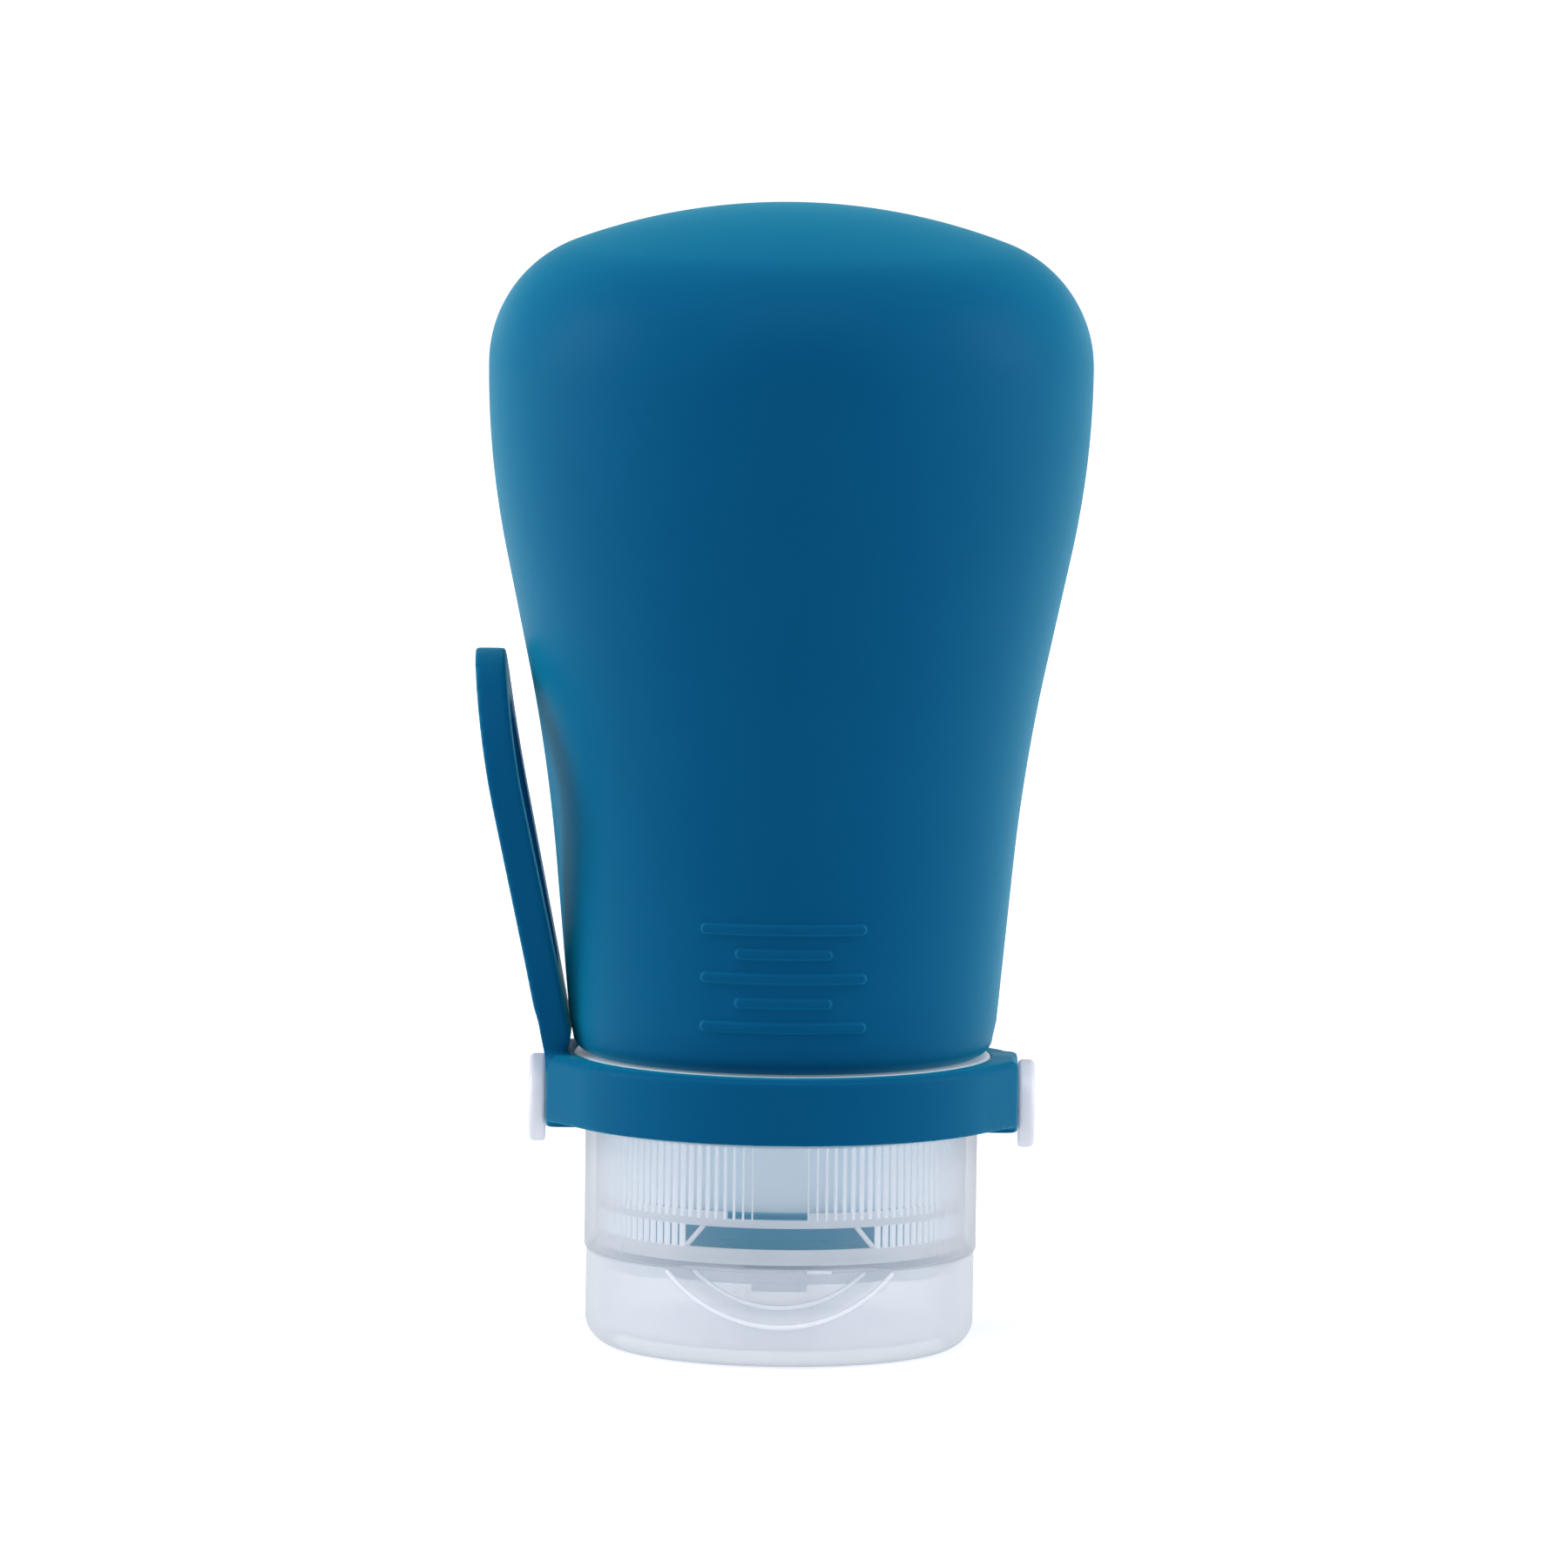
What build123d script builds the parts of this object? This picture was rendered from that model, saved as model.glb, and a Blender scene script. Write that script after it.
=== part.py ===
from build123d import *
from math import asin, atan2, cos, pi, radians, sin, sqrt, tan
import os

# Travel squeeze bottle of silicone, stored standing on its closed flip cap.
# Origin: centre of the lid's flat rest face. +Z goes up to the bottle's closed
# end, -Y is the front with the thumb scoop, -X is the side with the carry loop.
# All lengths are in millimetres and all angles in degrees.

# Small clearances and cutting values
face_gap = 0.05
fit_gap = 0.05
lid_side_gap = 0.12
cut_over = 1.0
weld = 0.15

# Flip lid
lid_inset = 0.15
lid_height = 7.45
lid_wall = 1.0
lid_floor = 1.2
lid_edge_round = 2.6
lid_inner_round = 1.2
plug_side_gap = 0.4
plug_wall = 0.9
plug_end_gap = 0.3

# Thumb scoop in the lid's front
scoop_arch_radius = 11.5
scoop_drop = 4.2
scoop_depth = 1.6
scoop_step_depth = 0.8
scoop_step = 0.7

# Cap base
cap_overhang = 1.0
cap_wall = 1.15
cap_height = 9.7
plate_recess = 0.5
plate_thickness = 1.0
rim_wall = 1.0
rim_drop = 1.3
front_rim_half_width = 8.0
nozzle_radius = 4.0
nozzle_wall = 0.9
nozzle_drop = 1.5
latch_width = 4.1
latch_height = 0.55

# Fine vertical ribs inside the cap base
rib_count = 124
rib_height = 0.35
rib_width = 0.36
lower_rib_start = 0.2
lower_rib_length = 1.9
rib_band_gap = 0.65
window_half_width = 7.2
upper_window_half_width = 2.6

# Screw thread between the cap's spigot and the neck sleeve, inside the collar
spigot_end_gap = 0.2
spigot_wall = 1.0
shoulder_height = 0.8
thread_pitch = 2.4
thread_crest_width = 0.5
thread_flank_gap = 0.15
thread_height = 0.7
thread_crest_gap = 0.15
thread_foot_gap = 0.55
thread_end_gap = 0.2

# Lid hinge at the back
hinge_clearance = 0.1
knuckle_radius = 1.2
knuckle_half_width = 2.9
knuckle_side_gap = 0.2
ear_width = 1.9
trunnion_radius = 0.6
trunnion_gap = 0.05
trunnion_short = 0.2

# Valve seal
seal_edge_gap = 0.65
seal_thickness = 0.6
valve_side_gap = 0.3
valve_wall = 0.6
valve_drop = 1.35
slit_length = 3.6
slit_width = 0.1

# Silicone bottle
body_radius = 23.3
body_widest_rise = 52.45
body_corner_radius = 10.0
body_dome_radius = 47.5
bulge_end_share = 0.7248
straight_end_share = 0.5615
hollow_end_share = 0.2663
foot_overhang = 0.25
foot_tilt = 5.3
foot_round = 1.7
tilt_search_steps = 40
body_wall = 2.0
shoulder_wall = 2.2
shoulder_round = 1.5
neck_radius = 10.9
neck_wall = 1.8
lip_thickness = 2.0

# Raised level marks on the bottle's front
mark_relief = 0.25
mark_root = 0.5
mark_height = 0.7
mark_spacing = 1.9
mark_rise = 6.85
long_mark_half_width = 5.9
short_mark_half_width = 3.3
mark_pattern_shares = (1, 0, 1, 0, 1)

# Neck sleeve with its collar
sleeve_wall = 1.35
collar_wall = 1.0
collar_plate = 1.2
collar_edge_round = 0.4
collar_height = 6.05
cap_to_collar_gap = 0.25

# Carry band and its side pads
band_wall = 1.85
band_step = 0.2
band_top_step = 0.5
pad_edge_round = 0.6
pad_half_depth = 4.6
pad_stand = 0.2
pad_drop = 0.5

# Studs that pin the band to the collar
stud_rise = 1.3
stud_head_radius = 3.4
stud_head_thickness = 1.3
stud_head_round = 0.5
stud_shank_radius = 1.1
stud_barb_radius = 1.35
stud_tip_radius = 0.95
stud_barb_length = 0.6
stud_barb_setback = 0.1
stud_end_gap = 0.25

# Carry loop
loop_thickness = 2.35
loop_root_gap = 0.1
loop_root_inset = 0.4
loop_flank_gap = 1.9
loop_top_lean = 4.96
loop_bend_radius = 100.0
loop_rise = 29.5
loop_half_width = 9.5
loop_leg_width = 3.6
loop_slot_rise = 7.2
loop_slot_foot_radius = 2.0

# Radii that follow from the neck outwards
neck_bore = neck_radius - neck_wall
sleeve_bore = neck_radius + fit_gap
sleeve_radius = sleeve_bore + sleeve_wall
spigot_bore = sleeve_radius + thread_height + thread_crest_gap
spigot_radius = spigot_bore + spigot_wall
cap_radius = spigot_radius + cap_overhang
cap_bore = cap_radius - cap_wall
seal_radius = cap_bore - rib_height - seal_edge_gap
collar_bore = spigot_radius + stud_end_gap + stud_barb_length + stud_barb_setback
collar_radius = collar_bore + collar_wall
band_bore = collar_radius + fit_gap
band_radius = band_bore + band_wall
pad_face = band_radius + pad_stand
lid_radius = cap_radius - lid_inset
rim_radius = lid_radius - lid_wall - lid_side_gap
plug_radius = nozzle_radius - plug_side_gap
scoop_back = lid_radius - scoop_depth
scoop_inner = scoop_back - lid_wall
hinge_y = cap_radius + knuckle_radius + hinge_clearance
body_foot_radius = collar_radius + foot_overhang

# Heights that follow from the rest face upwards
parting = lid_height + face_gap
rim_bottom = parting - rim_drop
plate_bottom = parting + plate_recess
plate_top = plate_bottom + plate_thickness
nozzle_bottom = plate_bottom - nozzle_drop
seal_bottom = plate_top + face_gap
seal_top = seal_bottom + seal_thickness
lip_bottom = seal_top + face_gap
lip_top = lip_bottom + lip_thickness
sleeve_bottom = lip_top + face_gap
cap_top = parting + cap_height
collar_bottom = cap_top + cap_to_collar_gap
collar_top = collar_bottom + collar_height
spigot_top = collar_top - collar_plate - spigot_end_gap
thread_root_width = thread_pitch / 2 - 2 * thread_flank_gap
sleeve_thread_start = collar_bottom + thread_foot_gap
cap_thread_start = sleeve_thread_start + thread_root_width + thread_flank_gap
thread_rise = spigot_top - thread_end_gap - thread_root_width / 2 - cap_thread_start
band_bottom = collar_bottom + band_step
band_top = collar_top - band_top_step
stud_height = band_bottom + stud_rise
body_bottom = collar_top + face_gap
body_widest_height = body_bottom + body_widest_rise
mark_centre_height = body_bottom + mark_rise
scoop_centre = lid_height - scoop_drop + scoop_arch_radius

# Place of the loop's root, where it bends
loop_half = loop_thickness / 2
loop_axis_x = loop_root_inset - pad_face
loop_axis_z = band_top + loop_root_gap + loop_half
loop_top = loop_axis_z + loop_rise
loop_slot_foot = loop_axis_z + loop_slot_rise


def disc(radius, low, high):
    """Solid round disc about the Z axis between two heights."""
    return Pos(0, 0, low) * Cylinder(
        radius, high - low, align=(Align.CENTER, Align.CENTER, Align.MIN)
    )


def ring(outer, inner, low, high):
    """Round tube about the Z axis between two heights."""
    tube = disc(outer, low, high)
    return tube - disc(inner, low - cut_over, high + cut_over)


def block(x_range, y_range, z_range):
    """Box from its lowest to its highest corner."""
    lows = [r[0] for r in (x_range, y_range, z_range)]
    highs = [r[1] for r in (x_range, y_range, z_range)]
    sizes = [h - l for l, h in zip(lows, highs)]
    corner = (Align.MIN, Align.MIN, Align.MIN)
    return Pos(*lows) * Box(*sizes, align=corner)


def rod_along_x(radius, start, end, y, z):
    """Round rod parallel to the X axis."""
    return (
        Pos(start, y, z)
        * Rot(0, 90, 0)
        * Cylinder(radius, end - start, align=(Align.CENTER, Align.CENTER, Align.MIN))
    )


def front_rod(radius, height):
    """Round rod through the front half, with its axis along Y."""
    reach = lid_radius + cut_over
    rod = Cylinder(radius, reach, align=(Align.CENTER, Align.CENTER, Align.MIN))
    return Pos(0, 0, height) * Rot(90, 0, 0) * rod


def thread_ridge(wall_radius, start, inward):
    """Helical ridge with a flat crest, standing out of or into a round wall."""
    side = -1 if inward else 1
    foot = wall_radius - side * weld
    crest = wall_radius + side * thread_height
    half_root = thread_root_width / 2
    half_crest = thread_crest_width / 2
    profile = Polyline(
        (foot, -half_root),
        (crest, -half_crest),
        (crest, half_crest),
        (foot, half_root),
        close=True,
    )
    section = Plane.XZ * make_face(profile)
    path = Helix(thread_pitch, thread_rise, wall_radius)
    return Pos(0, 0, start) * sweep(section, path=path, is_frenet=True)


def flank_heights():
    """Heights where the side outline's bulge, straight and hollow end, from the top."""
    shares = (bulge_end_share, straight_end_share, hollow_end_share)
    return [body_bottom + body_widest_rise * share for share in shares]


def flank_width(tilt):
    """Width that the side outline gains above its foot when its straight has a tilt."""
    bulge_end, straight_end, hollow_end = flank_heights()
    foot = radians(foot_tilt)
    bulge = (body_widest_height - bulge_end) * tan(tilt / 2)
    straight = (bulge_end - straight_end) * tan(tilt)
    hollow = (straight_end - hollow_end) * tan((tilt + foot) / 2)
    return bulge + straight + hollow + (hollow_end - body_bottom) * tan(foot)


def flank_tilt():
    """Tilt of the straight that joins the foot's radius to the widest radius."""
    low, high = -pi / 4, pi / 4
    for _ in range(tilt_search_steps):
        middle = (low + high) / 2
        if flank_width(middle) < body_radius - body_foot_radius:
            low = middle
        else:
            high = middle
    return (low + high) / 2


def bend(start, end_height, start_tilt, end_tilt):
    """Middle and end of an arc that runs down from a point, each with its tilt."""
    middle_tilt = (start_tilt + end_tilt) / 2
    drop = start[1] - end_height
    lean = (start_tilt + middle_tilt) / 2
    turn = (start_tilt - end_tilt) / 4
    half_drop = drop * cos(lean) / (2 * cos(middle_tilt) * cos(turn))
    middle = (start[0] - half_drop * tan(lean), start[1] - half_drop)
    end = (start[0] - drop * tan(middle_tilt), end_height)
    return (middle, middle_tilt), (end, end_tilt)


def set_in(point, tilt, inset):
    """Point of the side outline moved in along its normal."""
    return (point[0] - inset * cos(tilt), point[1] + inset * sin(tilt))


def foot_point(inset, height):
    """Point of the straight foot of the side outline at a height."""
    foot = radians(foot_tilt)
    return (body_foot_radius + (height - body_bottom) * tan(foot) - inset / cos(foot), height)


def flank_edges(inset, height):
    """Edges of the side outline from the closed end down to a height."""
    corner_x = body_radius - body_corner_radius
    reach = body_dome_radius - body_corner_radius
    dome_z = body_widest_height - sqrt(reach**2 - corner_x**2)
    dome_r = body_dome_radius - inset
    corner_r = body_corner_radius - inset
    lean = asin(corner_x / reach)
    turn = (pi / 2 + lean) / 2
    apex = (0, dome_z + dome_r)
    dome_middle = (dome_r * sin(lean / 2), dome_z + dome_r * cos(lean / 2))
    dome_end = (dome_r * sin(lean), dome_z + dome_r * cos(lean))
    corner = (corner_x + corner_r * sin(turn), body_widest_height + corner_r * cos(turn))
    tilt = flank_tilt()
    foot = radians(foot_tilt)
    bulge_end, straight_end, hollow_end = flank_heights()
    places = [((body_radius, body_widest_height), 0)]
    places += bend(places[-1][0], bulge_end, 0, tilt)
    last = places[-1][0]
    places.append(((last[0] - (last[1] - straight_end) * tan(tilt), straight_end), tilt))
    places += bend(places[-1][0], hollow_end, tilt, foot)
    widest, bulge, low_bulge, high_hollow, hollow, low_hollow = [
        set_in(point, angle, inset) for point, angle in places
    ]
    return [
        ThreePointArc(apex, dome_middle, dome_end),
        ThreePointArc(dome_end, corner, widest),
        ThreePointArc(widest, bulge, low_bulge),
        Line(low_bulge, high_hollow),
        ThreePointArc(high_hollow, hollow, low_hollow),
        Line(low_hollow, foot_point(inset, height)),
    ]


def turned(edges):
    """Solid turned about the Z axis from a closed outline of radius and height."""
    return revolve(Plane.XZ * make_face(edges), Axis.Z)


def near_corner(face, point):
    """Corner of a flat outline that lies nearest to a point."""
    return min(face.vertices(), key=lambda v: (v.center() - Vector(*point)).length)


def flank_solid(inset):
    """Solid inside the side outline, set in by a thickness, above the foot's round."""
    low = body_bottom + foot_round
    edges = flank_edges(inset, low)
    foot = foot_point(inset, low)
    return turned(edges + [Line(foot, (0, low)), Line((0, low), edges[0] @ 0)])


def level_marks():
    """Raised level lines on the front, long and short by turns."""
    middle = (len(mark_pattern_shares) - 1) / 2
    skin = flank_solid(-mark_relief) - flank_solid(mark_root)
    marks = []
    for index, share in enumerate(mark_pattern_shares):
        half = short_mark_half_width
        if share:
            half = long_mark_half_width
        centre = mark_centre_height + (index - middle) * mark_spacing
        z_range = (centre - mark_height / 2, centre + mark_height / 2)
        marks.append(block((-half, half), (-2 * body_radius, 0), z_range) & skin)
    return marks


def silicone_body():
    """Hollow bottle with its neck tube and the folded-out sealing lip."""
    outer = flank_edges(0, body_bottom)
    shoulder = body_bottom + shoulder_wall
    inner = flank_edges(body_wall, shoulder)
    outer_foot = foot_point(0, body_bottom)
    inner_foot = foot_point(body_wall, shoulder)
    neck = [
        outer_foot,
        (neck_radius, body_bottom),
        (neck_radius, lip_top),
        (sleeve_radius, lip_top),
        (sleeve_radius, lip_bottom),
        (neck_bore, lip_bottom),
        (neck_bore, shoulder),
        inner_foot,
    ]
    close = Line(inner[0] @ 0, outer[0] @ 0)
    face = make_face(outer + [Polyline(*neck)] + inner + [close])
    face = fillet(near_corner(face, outer_foot), foot_round)
    face = fillet(near_corner(face, inner_foot), shoulder_round)
    face = fillet(near_corner(face, (neck_bore, shoulder)), shoulder_round)
    body = revolve(Plane.XZ * face, Axis.Z)
    for mark in level_marks():
        body += mark
    return body


def neck_sleeve():
    """Rigid sleeve: threaded tube, top plate and the collar that carries the band."""
    tube = ring(sleeve_radius, sleeve_bore, sleeve_bottom, collar_top)
    plate = ring(collar_radius, sleeve_bore, collar_top - collar_plate, collar_top)
    wall = ring(collar_radius, collar_bore, collar_bottom, collar_top)
    sleeve = tube + plate + wall
    edges = sleeve.edges().filter_by(GeomType.CIRCLE).group_by(Axis.Z)[-1]
    sleeve = fillet(edges.sort_by(SortBy.RADIUS)[-1], collar_edge_round)
    sleeve += thread_ridge(sleeve_radius, sleeve_thread_start, False)
    reach = collar_radius + cut_over
    hole = rod_along_x(stud_shank_radius + fit_gap, -reach, reach, 0, stud_height)
    return sleeve - (hole - disc(spigot_radius, collar_bottom - reach, collar_top))


def carry_band():
    """Soft band round the collar with a flat pad on each side for its stud."""
    pad_bottom = band_bottom - pad_drop
    pads = block(
        (-pad_face, pad_face), (-pad_half_depth, pad_half_depth), (pad_bottom, band_top)
    )
    pads = fillet(pads.edges().filter_by(Axis.Z), pad_edge_round)
    strap = ring(band_radius, band_bore, band_bottom, band_top) + pads
    strap -= disc(band_bore, pad_bottom - cut_over, band_top + cut_over)
    reach = pad_face + cut_over
    return strap - rod_along_x(stud_shank_radius + fit_gap, -reach, reach, 0, stud_height)


def stud(side):
    """Push-in stud: round head, shank through pad and collar, barbed tip."""
    head_face = pad_face + face_gap
    barb_face = collar_bore - stud_barb_setback
    head = rod_along_x(
        stud_head_radius, head_face, head_face + stud_head_thickness, 0, stud_height
    )
    head = fillet(head.edges().filter_by(GeomType.CIRCLE), stud_head_round)
    shank = rod_along_x(stud_shank_radius, barb_face - weld, head_face + weld, 0, stud_height)
    barb = Cone(
        stud_barb_radius,
        stud_tip_radius,
        stud_barb_length,
        align=(Align.CENTER, Align.CENTER, Align.MIN),
    )
    piece = head + shank + Pos(barb_face, 0, stud_height) * Rot(0, -90, 0) * barb
    return piece if side > 0 else Rot(0, 0, 180) * piece


def loop_top_reach():
    """Radius of the loop's middle at its top, clear of the bottle's flank there."""
    tilt = flank_tilt()
    bulge_end = flank_heights()[0]
    bulge = (body_widest_height - bulge_end) * tan(tilt / 2)
    flank = body_radius - bulge - (bulge_end - loop_top) * tan(tilt)
    return flank + loop_flank_gap + loop_half / cos(radians(loop_top_lean))


def loop_side():
    """Side outline of the loop: a strip that leans out and then bends upright."""
    lean = radians(loop_top_lean)
    root = Vector(loop_axis_x, loop_axis_z)
    top = Vector(-loop_top_reach(), loop_top)
    centre = top + Vector(cos(lean), sin(lean)) * loop_bend_radius
    span = centre - root
    straight = sqrt(span.length**2 - loop_bend_radius**2)
    tilt = atan2(span.Y, span.X) - atan2(straight, loop_bend_radius)
    along = Vector(-sin(tilt), cos(tilt))
    across = Vector(cos(tilt), sin(tilt))
    start = root + along * straight
    end = asin((centre.Y - loop_top - cut_over) / loop_bend_radius)

    def on_bend(radius, angle):
        return centre - Vector(cos(angle), sin(angle)) * radius

    outer = loop_bend_radius + loop_half
    inner = loop_bend_radius - loop_half
    middle = (tilt + end) / 2
    outer_top = on_bend(outer, end)
    inner_top = on_bend(inner, end)
    half = across * loop_half
    return make_face(
        [
            Line(root - half, start - half),
            ThreePointArc(start - half, on_bend(outer, middle), outer_top),
            Line(outer_top, inner_top),
            ThreePointArc(inner_top, on_bend(inner, middle), start + half),
            Line(start + half, root + half),
            ThreePointArc(root + half, root - along * loop_half, root - half),
        ]
    )


def loop_front():
    """Flat outline of the loop: a teardrop with an open teardrop slot."""
    centre = Pos(0, loop_top - loop_half_width)
    foot_low = loop_axis_z - loop_half
    foot = Pos(0, foot_low + loop_half) * Rectangle(2 * pad_half_depth, loop_thickness)
    outline = make_hull((centre * Circle(loop_half_width)).edges() + foot.edges())
    eye = centre * Circle(loop_half_width - loop_leg_width)
    corner = Pos(0, loop_slot_foot) * Circle(loop_slot_foot_radius)
    return outline - make_hull(eye.edges() + corner.edges())


def carry_loop():
    """Carry loop that stands on the left pad of the band."""
    strip = extrude(Plane.XZ * loop_side(), loop_half_width + cut_over, both=True)
    plate = extrude(Plane.YZ * loop_front(), 2 * body_radius, both=True)
    return strip & plate


def ribbed_bore(low, high, bare_half_width):
    """Tier of the cap's skirt with ribs inside, left bare across the front."""
    pitch = 2 * pi / rib_count
    crest = cap_bore - rib_height
    points = []
    for index in range(rib_count):
        angle = index * pitch
        at_front = sin(angle) < 0 and abs(cap_bore * cos(angle)) < bare_half_width
        half = rib_width / 2 / cap_bore
        turns = [(cap_bore, angle)]
        if not at_front:
            turns = [
                (cap_bore, angle - half),
                (crest, angle - half),
                (crest, angle + half),
                (cap_bore, angle + half),
            ]
        points += [(r * cos(a), r * sin(a)) for r, a in turns]
    hole = make_face(Polyline(*points, close=True))
    return Pos(0, 0, low) * extrude(Circle(cap_radius) - hole, high - low)


def cap_skirt():
    """Outer wall of the cap base: plain and ribbed tiers under the inner shoulder."""
    lower_start = plate_top + lower_rib_start
    lower_end = lower_start + lower_rib_length
    upper_start = lower_end + rib_band_gap
    shoulder = cap_top - shoulder_height
    skirt = ring(cap_radius, cap_bore, parting, lower_start)
    skirt += ribbed_bore(lower_start, lower_end, window_half_width)
    skirt += ring(cap_radius, cap_bore, lower_end, upper_start)
    skirt += ribbed_bore(upper_start, shoulder, upper_window_half_width)
    skirt += ring(cap_radius, spigot_bore, shoulder, cap_top)
    return skirt + ring(spigot_radius, spigot_bore, cap_top, spigot_top)


def cap_rim():
    """Step that the lid closes round, set back behind the thumb scoop."""
    rim = ring(rim_radius, rim_radius - rim_wall, rim_bottom, plate_bottom)
    scoop_wall = scoop_arch_radius + lid_wall
    half = sqrt(scoop_wall**2 - (scoop_centre - lid_height) ** 2) + 2 * lid_side_gap
    low = rim_bottom - cut_over
    rim -= block((-half, half), (-cap_radius, 0), (low, parting))
    front = scoop_inner - 2 * lid_side_gap
    inner = front - rim_wall
    wide = (-front_rim_half_width, front_rim_half_width)
    rim += ring(front, inner, rim_bottom, plate_bottom) & block(
        wide, (-cap_radius, 0), (rim_bottom, plate_bottom)
    )
    latch = (rim_bottom - latch_height, rim_bottom)
    catch = block((-latch_width / 2, latch_width / 2), (-cap_radius, 0), latch)
    return rim + (ring(front, inner, *latch) & catch)


def hinge_ears():
    """Two ears with bores that take the lid's trunnions."""
    inner = knuckle_half_width + knuckle_side_gap
    outer = inner + ear_width
    ears = []
    for start, end in ((inner, outer), (-outer, -inner)):
        ear = rod_along_x(knuckle_radius, start, end, hinge_y, parting)
        web = block(
            (start, end),
            (cap_radius - cap_wall / 2, hinge_y),
            (parting, parting + knuckle_radius),
        )
        bore = rod_along_x(
            trunnion_radius + trunnion_gap, start - cut_over, end + cut_over, hinge_y, parting
        )
        ears.append(ear + web - bore)
    return ears


def cap_base():
    """Translucent cap base with skirt, spigot, plate, nozzle, rim and hinge ears."""
    plate = ring(cap_bore + weld, nozzle_radius, plate_bottom, plate_top)
    nozzle = ring(nozzle_radius + nozzle_wall, nozzle_radius, nozzle_bottom, plate_bottom)
    base = cap_skirt() + plate + nozzle + cap_rim()
    for ear in hinge_ears():
        base += ear
    return base + thread_ridge(spigot_bore, cap_thread_start, True)


def scoop_block(radius, low_radius, high_radius):
    """Arched piece of the lid's front wall between two radii from the axis."""
    wall = ring(high_radius, low_radius, 0, lid_height)
    return wall & front_rod(radius, scoop_centre)


def flip_lid():
    """Cup-shaped lid with thumb scoop, sealing plug and hinge knuckle."""
    cup = disc(lid_radius, 0, lid_height)
    cup = fillet(cup.edges().sort_by(Axis.Z)[0], lid_edge_round)
    hollow = disc(lid_radius - lid_wall, lid_floor, lid_height)
    hollow = fillet(hollow.edges().sort_by(Axis.Z)[0], lid_inner_round)
    lid = cup - hollow
    lid += scoop_block(
        scoop_arch_radius + lid_wall, scoop_inner, lid_radius - lid_wall + weld
    )
    step_radius = scoop_arch_radius - scoop_step
    over = lid_radius + cut_over
    lid -= scoop_block(scoop_arch_radius, lid_radius - scoop_step_depth, over)
    lid -= scoop_block(step_radius, scoop_back, over)
    plug_top = seal_bottom - valve_drop - plug_end_gap
    lid += ring(plug_radius, plug_radius - plug_wall, lid_floor, plug_top)
    wide = (-knuckle_half_width, knuckle_half_width)
    web = block(
        wide, (lid_radius - lid_wall / 2, hinge_y), (parting - knuckle_radius, lid_height)
    )
    knuckle = rod_along_x(knuckle_radius, *wide, hinge_y, parting)
    pin_half = knuckle_half_width + knuckle_side_gap + ear_width - trunnion_short
    pin = rod_along_x(trunnion_radius, -pin_half, pin_half, hinge_y, parting)
    return lid + web + knuckle + pin


def valve_seal():
    """Soft sealing disc with a slit valve cup that hangs in the nozzle."""
    cup_radius = nozzle_radius - valve_side_gap
    cup_bottom = seal_bottom - valve_drop
    cup_bore = cup_radius - valve_wall
    seal = disc(seal_radius, seal_bottom, seal_top) + disc(cup_radius, cup_bottom, seal_top)
    seal -= disc(cup_bore, cup_bottom + valve_wall, seal_top + cut_over)
    half = slit_length / 2
    thin = slit_width / 2
    heights = (cup_bottom - cut_over, cup_bottom + valve_wall + cut_over)
    seal -= block((-half, half), (-thin, thin), heights)
    return seal - block((-thin, thin), (-half, half), heights)


def main():
    """Builds every piece and writes one file for each."""
    os.makedirs("parts", exist_ok=True)
    pieces = {
        "silicone_body": silicone_body(),
        "neck_sleeve": neck_sleeve(),
        "carry_band": carry_band(),
        "carry_loop": carry_loop(),
        "stud_left": stud(-1),
        "stud_right": stud(1),
        "valve_seal": valve_seal(),
        "cap_base": cap_base(),
        "flip_lid": flip_lid(),
    }
    for name, piece in pieces.items():
        piece.label = name
        export_step(piece, f"parts/{name}.step")


main()
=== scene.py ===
import math

import bmesh
import bpy
import numpy as np
from bpy.props import FloatProperty, FloatVectorProperty, IntProperty, PointerProperty
from mathutils import Matrix, Vector


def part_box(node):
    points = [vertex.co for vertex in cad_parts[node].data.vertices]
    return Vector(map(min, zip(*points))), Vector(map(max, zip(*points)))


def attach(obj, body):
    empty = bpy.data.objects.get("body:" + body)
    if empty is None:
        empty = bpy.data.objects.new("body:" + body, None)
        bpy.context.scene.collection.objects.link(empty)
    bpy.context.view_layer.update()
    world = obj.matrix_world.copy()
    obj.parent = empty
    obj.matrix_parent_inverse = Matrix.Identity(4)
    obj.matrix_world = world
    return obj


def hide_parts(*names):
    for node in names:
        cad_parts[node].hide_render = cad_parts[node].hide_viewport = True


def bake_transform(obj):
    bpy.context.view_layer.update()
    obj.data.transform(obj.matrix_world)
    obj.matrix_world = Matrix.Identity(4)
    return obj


bl_info = {
    "name": "Travel Squeeze Bottle",
    "version": (1, 0, 0),
    "blender": (4, 5, 0),
    "location": "3D View > Sidebar > Bottle",
    "description": "Builds the looks of a silicone travel bottle round its packed frame",
    "category": "Add Mesh",
}

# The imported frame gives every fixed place. Lengths below are millimetres, and
# finished meshes are scaled to metres.
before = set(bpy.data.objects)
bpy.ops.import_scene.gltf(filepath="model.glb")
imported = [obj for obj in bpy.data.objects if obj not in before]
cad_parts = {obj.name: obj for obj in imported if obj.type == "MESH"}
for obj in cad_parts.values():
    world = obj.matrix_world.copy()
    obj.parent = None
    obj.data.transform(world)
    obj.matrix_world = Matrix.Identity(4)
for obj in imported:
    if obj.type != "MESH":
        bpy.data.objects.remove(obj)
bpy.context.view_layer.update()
MM = 0.001


def in_mm(node):
    """Lowest and highest corner of a frame node in millimetres."""
    low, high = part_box(node)
    return low / MM, high / MM


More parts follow.
